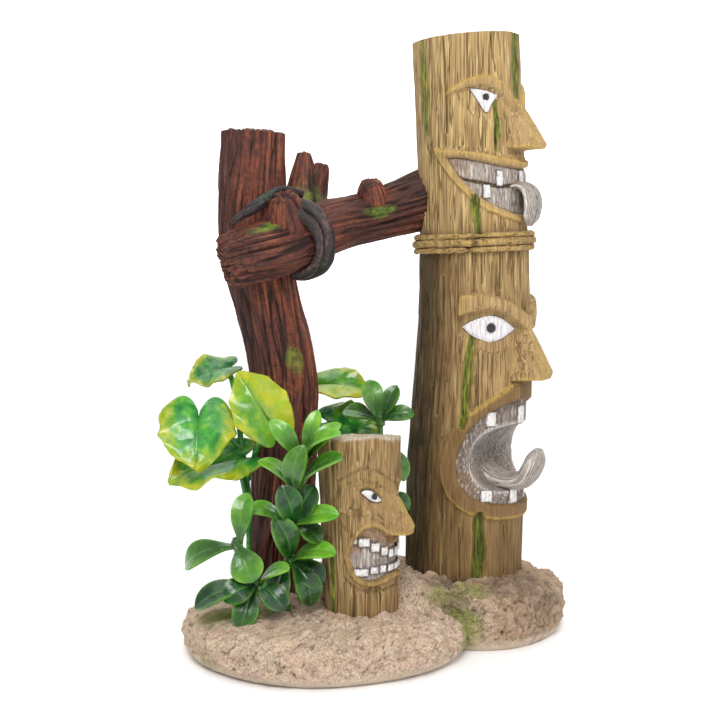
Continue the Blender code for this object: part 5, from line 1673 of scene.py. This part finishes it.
def glossy_leaf(name, start, tip, width, look, node, body, seed, fresh):
    """A blunt oval leaf that bends over: a sheet with a midrib channel and side veins, and a rounded edge."""
    start, tip, side, face = leaf_frame(start, tip, FACING, 12 * math.sin(seed * 2.4))
    length = float(np.linalg.norm(tip - start))
    outline = curve(OVAL, 46)
    share, across = outline[:, :1], np.linspace(-1, 1, 25)
    half = outline[:, 1:] * width / 2
    arch = length * (0.13 + 0.05 * math.sin(seed * 1.7))
    lift = arch * 4 * share * (1 - share) ** 0.8 - 0.10 * length * share**3
    cup = 0.16 * half * abs(across) ** 1.6
    rib = -0.32 * np.exp(-((across / 0.11) ** 2)) * (1 - share) ** 0.4
    ribs = np.cos(2 * math.pi * (share * 6.5 - 1.1 * abs(across)))
    height = lift + cup + rib + 0.05 * ribs * rise(abs(across), 0.15, 0.4) * (1 - abs(across))
    points = (
        start
        + (tip - start) * share[..., None]
        + side * (half * across)[..., None]
        + face * np.broadcast_to(height, half.shape[:1] + across.shape)[..., None]
    )
    edge = np.broadcast_to(abs(across), height.shape)
    masks = {
        "fresh": np.clip(fresh * (0.25 + 0.75 * rise(share + 0 * across, 0.3, 1.0)) + 0.2 * edge**4, 0, 1),
        "vein": np.exp(-((across / 0.09) ** 2)) * (1 - 0.5 * share),
        "margin": rise(edge, 0.86, 1.0),
    }
    sheet = new_object(name, grid_mesh(name, points, masks), look, [node], body)
    rounded(sheet, 0.8)


def rounded(sheet, thickness):
    """Thickens a leaf and rounds its edge."""
    solid = sheet.modifiers.new("thickness", "SOLIDIFY")
    solid.thickness = thickness * MM
    solid.offset = 0.0
    bevel = sheet.modifiers.new("edge", "BEVEL")
    bevel.width = 0.3 * thickness * MM
    bevel.segments = 2
    bevel.limit_method = "ANGLE"
    bevel.angle_limit = math.radians(50)


HEART = (
    (0.0, 0.84), (0.1, 0.97), (0.24, 1.0), (0.42, 0.97), (0.58, 0.86), (0.72, 0.68), (0.84, 0.45),
    (0.93, 0.24),
    (0.98, 0.11), (1.0, 0.03),
)


def heart_leaf(name, spec, look, node, body, seed):
    """A heart-shaped leaf with rounded lobes behind its notch, wavy margins and sunken veins."""
    notch, tip, width, roll, golden, deep, facing, curl = spec
    start, tip, side, face = leaf_frame(notch, tip, facing, roll)
    length = float(np.linalg.norm(tip - start))
    outline = curve(HEART, 56)
    share, across = outline[:, :1], np.linspace(-1, 1, 47)
    wave = 1 + 0.035 * np.sin(share * 17 + seed) + 0.02 * np.sin(share * 31 + 2 * seed)
    half = outline[:, 1:] * wave * width / 2
    lobes = 0.36 * np.sin(math.pi * abs(across) ** 0.9) ** 0.75 * (1 - share) ** 2.0
    run = share - lobes
    edge = abs(across) + 0 * share
    folds = 0.07 * width * np.sin(seed + share * 7) * across * edge
    flare = 0.045 * width * np.sin(seed * 3 + share * 13 + across * 4) * edge**3
    veins_at = np.cos(2 * math.pi * (share * 4.2 - 0.8 * abs(across)))
    sunk = (
        np.exp(-((across / 0.05) ** 2))
        + 0.7 * rise(veins_at, 0.9, 1.0) * rise(edge, 0.04, 0.2) * (1 - edge)
    )
    quilt = 0.16 * (1 - veins_at) * rise(edge, 0.05, 0.3) * (1 - edge)
    bend = curl * length * (4 * share * (1 - share) - 0.6 * share**3)
    dish = 0.13 * half * edge**1.5 * (1 if curl >= 0 else -1)
    height = bend + dish + folds + flare - 0.28 * sunk + quilt
    points = (
        start
        + (tip - start) * run[..., None]
        + side * (half * across)[..., None]
        + face * height[..., None]
    )
    spread = rise(np.maximum(edge, 1.35 * share - 0.35) + 0 * share, 0.45, 1.0)
    masks = {
        "margin": np.clip(spread, 0, 1),
        "vein": np.clip(sunk, 0, 1) * (1 - 0.6 * edge),
        "golden": golden * rise(across * (1 if seed % 2 else -1) + 0 * share, -0.2, 0.6) + 0.3 * golden,
        "deep": deep * (1 - 0.6 * spread),
    }
    rounded(new_object(name, grid_mesh(name, points, masks), look, [node], body), 0.7)


def stem(name, points, radius, look, nodes, body, seed, fresh=0.1):
    bar = Bar([(*p, radius) for p in points], seed, step=0.6, columns=20, towards=(0.5, -0.86, 0.1))
    bar.relief = 0.1 * noise(bar.spots(1.2, 3), seed) + 0.12 * rise(np.cos(np.radians(bar.angle * 3)), 0.3, 1)
    bar.masks = {
        "fresh": fresh + 0.2 * rise(noise(bar.spots(3, 9), seed + 1), 0, 0.5),
        "vein": 0 * bar.relief,
        "margin": 0 * bar.relief,
        "deep": 0.7 + 0 * bar.relief,
        "golden": 0 * bar.relief,
    }
    grid, masks = bar.closed(bar.points(), rounding=(0.4, 0.5))
    new_object(name, grid_mesh(name, grid, masks, wrap=True), look, nodes, body)


def stem_at(points, share):
    """Place and direction on a stem's curve at a share of its arcs."""
    arcs = len(points) - 2
    i = min(int(share * arcs), arcs - 1)
    t = share * arcs - i
    before, bend, after = (np.array(p, dtype=float) for p in points[i : i + 3])
    start = before if i == 0 else (before + bend) / 2
    end = after if i == arcs - 1 else (bend + after) / 2
    way = (bend - start) * (1 - t) + (end - bend) * t
    return start * (1 - t) ** 2 + bend * (2 * t * (1 - t)) + end * t**2, way / np.linalg.norm(way)


def sprig(spec, look):
    """A stem with rings of leaves, each ring on a short hub round the stem."""
    name = spec["name"]
    nodes = [name + "_stem"]
    for i, points in enumerate(spec["stems"]):
        stem(f"{name}_stem_skin_{i}", points, 0.95, look, nodes, name, 301 + i)
    x, y = spec["root"]
    stem(f"{name}_peg", [(x, y, 9), (x, y, 13), (x, y, spec["peg_top"])], 2.3, look, nodes, name, 311)
    for i, (which, share, leaves) in enumerate(spec["whorls"]):
        centre, way = stem_at(spec["stems"][which], share)
        node = f"{name}_whorl_{i + 1}"
        stem(
            f"{node}_hub", [centre - way * 1.5, centre, centre + way * 1.5], 1.7, look, [node], name,
            321 + i,
        )
        for j, (tx, ty, tz, width, fresh) in enumerate(leaves):
            tip = np.array([tx, ty, tz])
            out = tip - centre
            out -= way * out.dot(way)
            start = centre + out / np.linalg.norm(out) * 1.1
            glossy_leaf(f"{node}_leaf_{j}", start, tip, width, look, node, name, 7 * i + j, fresh)


def heart_plant(spec, look):
    name = spec["name"]
    nodes = [name + "_stem"]
    for i, points in enumerate(spec["stems"]):
        stem(f"{name}_stem_skin_{i}", points, 0.95, look, nodes, name, 341 + i)
    x, y = spec["root"]
    stem(f"{name}_peg", [(x, y, 9), (x, y, 13), (x, y, spec["peg_top"])], 2.3, look, nodes, name, 351)
    for i, heart in enumerate(spec["hearts"]):
        node = f"{name}_leaf_{i + 1}"
        heart_leaf(node + "_blade", heart, look, node, name, i + 1)


CAMERAWARD = (-0.80, -0.50, 0.33)
SPRIGS = (
    {
        "name": "front_sprig",
        "root": (-31.6, 13.6),
        "peg_top": 18.5,
        "stems": (
            (
                (-31.6, 13.6, 14.0), (-31.5, 12.0, 31.0), (-30.9, 10.6, 45.0), (-30.3, 9.6, 58.0),
                (-28.9, 7.2, 69.5),
            ),
            (
                (-31.8, 13.8, 17.8), (-36.6, 17.0, 22.4), (-40.0, 20.4, 28.0), (-40.6, 25.0, 36.0),
                (-40.6, 27.2, 41.5),
            ),
        ),
        "whorls": (
            (0, 0.25, (
                (-31.8, -5.8, 39.5, 7.5, 0.9), (-32.8, 1.8, 20.7, 9.5, 0.0), (-29.4, 0.0, 27.0, 9.5, 0.0),
                (-41.4, 12.8, 20.6, 9.0, 0.0), (-40.2, 10.6, 49.8, 9.5, 0.1))),
            (0, 0.53, (
                (-33.0, -7.4, 52.7, 7.0, 1.0), (-34.4, 26.6, 51.1, 6.0, 1.0), (-38.3, 9.4, 60.0, 9.5, 0.0),
                (-31.8, 2.2, 59.9, 9.5, 0.05), (-31.5, -0.4, 42.1, 8.5, 0.1))),
            (0, 0.80, (
                (-34.8, -9.2, 72.4, 8.6, 0.3), (-32.1, 22.7, 67.6, 6.0, 1.0), (-37.0, 3.0, 73.6, 8.5, 0.3))),
            (0, 0.97, (
                (-26.3, 3.9, 84.4, 5.5, 0.9), (-35.9, 15.2, 81.5, 7.0, 0.85), (-24.6, -3.6, 80.6, 5.5, 0.8),
                (-32.4, -7.4, 79.6, 6.0, 1.0))),
            (1, 0.40, (
                (-54.6, 33.6, 21.6, 10.0, 0.0), (-50.5, 18.5, 14.7, 8.5, 0.1), (-51.1, 23.6, 23.5, 10.0, 0.0),
                (-41.6, 7.1, 20.8, 9.0, 0.0), (-39.4, 7.3, 34.3, 6.5, 0.75))),
            (1, 0.93, (
                (-45.3, 45.6, 31.5, 9.5, 0.45), (-44.3, 17.9, 29.0, 11.0, 0.55),
                (-37.8, 24.6, 56.4, 7.5, 0.7))),
        ),
    },
    {
        "name": "rear_sprig",
        "root": (7.4, -2.4),
        "peg_top": 24.0,
        "stems": (((7.4, -2.4, 14.0), (7.0, -3.0, 49.0), (6.6, -2.2, 72.0), (6.4, -2.0, 80.0)),),
        "whorls": (
            (0, 0.34, ((10.8, 4.6, 46.5, 7.0, 0.2), (6.4, -13.4, 47.5, 7.0, 0.2))),
            (0, 0.69, ((8.0, 7.4, 60.0, 7.5, 0.2), (5.4, -12.6, 58.0, 7.0, 0.3))),
            (0, 0.93, (
                (6.4, 12.6, 81.0, 7.0, 0.3), (7.0, -14.6, 81.0, 6.5, 0.2), (6.6, 2.4, 91.5, 7.5, 0.5),
                (7.4, -7.8, 90.0, 6.0, 0.2))),
        ),
    },
)
HEART_PLANTS = (
    {
        "name": "heart_vine",
        "root": (-22.8, 34.2),
        "peg_top": 18.5,
        "stems": (
            (
                (-22.8, 34.2, 14.0), (-22.4, 34.0, 40.0), (-22.8, 34.6, 60.0), (-24.4, 36.4, 72.0),
                (-23.2, 37.8, 84.0),
            ),
            ((-22.4, 34.0, 40.0), (-23.2, 34.6, 55.0), (-26.2, 35.8, 63.4)),
            ((-24.0, 36.0, 69.0), (-30.0, 42.6, 78.0), (-35.2, 44.2, 80.8)),
            ((-22.6, 34.5, 58.0), (-25.0, 29.0, 70.0), (-26.0, 25.4, 76.6)),
            ((-23.6, 37.4, 80.0), (-20.0, 41.0, 90.0), (-16.4, 46.8, 94.5)),
        ),
        "hearts": (
            ((-36.9, 44.6, 81.2), (-46.4, 39.2, 64.8), 26.0, 0.0, 0.0, 0.1, CAMERAWARD, 0.05),
            ((-28.0, 35.8, 65.4), (-45.2, 51.4, 59.4), 23.0, -10.0, 0.0, 0.3, (-0.6, -0.3, 0.74), 0.06),
            ((-27.6, 21.4, 79.6), (-30.8, 32.4, 96.4), 19.5, 10.0, 1.0, 0.0, CAMERAWARD, 0.12),
            ((-15.6, 48.2, 95.4), (-25.2, 58.0, 91.0), 17.0, 10.0, 0.0, 0.95, (-0.3, -0.1, 0.94), 0.08),
        ),
    },
    {
        "name": "rear_heart_vine",
        "root": (12.0, 30.4),
        "peg_top": 20.5,
        "stems": (
            ((12.0, 30.4, 14.0), (15.0, 33.0, 45.0), (16.6, 33.0, 70.0), (16.8, 30.8, 86.0)),
            ((16.2, 33.1, 60.0), (18.0, 31.0, 70.0), (19.0, 27.0, 73.0)),
        ),
        "hearts": (
            ((16.9, 28.8, 87.0), (23.8, 10.6, 85.0), 16.0, 10.0, 0.7, 0.2, (-0.62, -0.3, 0.72), 0.12),
            ((19.4, 25.2, 73.2), (20.6, 5.8, 71.0), 17.0, -10.0, 0.0, 0.9, (-0.75, -0.35, 0.55), 0.10),
        ),
    },
)


# Setting


def studio():
    """A pale floor, soft light all round and a camera at the photograph's angle."""
    floor_look = Look("studio_floor", 0.9)
    tint = floor_look.blend(floor_look.noise(40.0), rgb(250, 250, 250), rgb(255, 255, 255))
    floor_look.done(tint)
    bpy.ops.mesh.primitive_plane_add(size=FLOOR_SIZE, location=(0.0, 0.0, 0.0))
    floor = bpy.context.object
    floor.name = "studio_floor"
    floor.data.materials.append(floor_look.material)
    wall_look = Look("studio_wall", 0.9)
    wall_tint = wall_look.blend(wall_look.noise(60.0), rgb(250, 250, 250), rgb(255, 255, 255))
    wall_look.tree.links.new(wall_tint, wall_look.shader.inputs["Emission Color"])
    wall_look.shader.inputs["Emission Strength"].default_value = WALL_GLOW
    wall_look.done(wall_tint)
    bpy.ops.mesh.primitive_plane_add(
        size=4.0, location=(1.6, 0.9, 1.9), rotation=(math.pi / 2, 0.0, math.radians(-60.0)),
    )
    wall = bpy.context.object
    wall.name = "studio_wall"
    wall.data.materials.append(wall_look.material)
    world = bpy.data.worlds.new("studio")
    bpy.context.scene.world = world
    world.use_nodes = True
    sky = world.node_tree.nodes["Background"]
    sky.inputs["Color"].default_value = (1.0, 1.0, 1.0, 1.0)
    sky.inputs["Strength"].default_value = SKY_STRENGTH
    for name, spot, size, power in LAMPS:
        data = bpy.data.lights.new(name, "AREA")
        data.size = size
        data.energy = power
        lamp = bpy.data.objects.new(name, data)
        bpy.context.scene.collection.objects.link(lamp)
        lamp.location = spot
        lamp.rotation_euler = (Vector(LAMP_AIM) - Vector(spot)).to_track_quat("-Z", "Y").to_euler()
    data = bpy.data.cameras.new("camera")
    data.lens = CAMERA_LENS
    camera = bpy.data.objects.new("camera", data)
    bpy.context.scene.collection.objects.link(camera)
    camera.location = CAMERA_SPOT
    camera.rotation_euler = (math.radians(90.0 - CAMERA_PITCH), 0.0, math.radians(CAMERA_TURN))
    bpy.context.scene.camera = camera
    bpy.context.scene.view_settings.view_transform = "Standard"


FLOOR_SIZE = 6.0
WALL_GLOW = 0.8
SKY_STRENGTH = 0.55
LAMP_AIM = (0.0, 0.0, 0.1)
CAMERA_LENS = 65.7
CAMERA_SPOT = (-0.3946, -0.2255, 0.1425)
CAMERA_PITCH = 5.4
CAMERA_TURN = -60.0
LAMPS = (
    ("key", (-0.6, -0.3, 0.75), 0.4, 5.0),
    ("front", (-0.1, -0.9, 0.5), 0.7, 1.6),
    ("top", (0.1, 0.1, 1.0), 0.8, 3.2),
)


def main():
    wood = carved_wood()
    grey = grey_paint()
    white = eye_paint()
    looks = {"outline": grey, "tooth": tooth_paint()}
    upper_log(wood)
    lower_log(wood)
    eye("upper_face_eye", UPPER_LOG, UPPER_EYE, (-46.5, 190.2), 1.25, -0.35, 0.45, white)
    eye("lower_face_eye", LOWER_LOG, LOWER_EYE, (-47.5, 110.4), 1.75, -0.75, 0.7, white, halo=1.0)
    upper_mouth(grey, looks)
    lower_mouth(grey, looks)
    small_tiki(wood, white, grey, looks)
    hoops(wood)
    driftwood(driftwood_look())
    lashings(cord_look())
    sand_base(sand_look())
    glossy, heart = glossy_look(), heart_look()
    for spec in SPRIGS:
        sprig(spec, glossy)
    for spec in HEART_PLANTS:
        heart_plant(spec, heart)
    studio()


main()
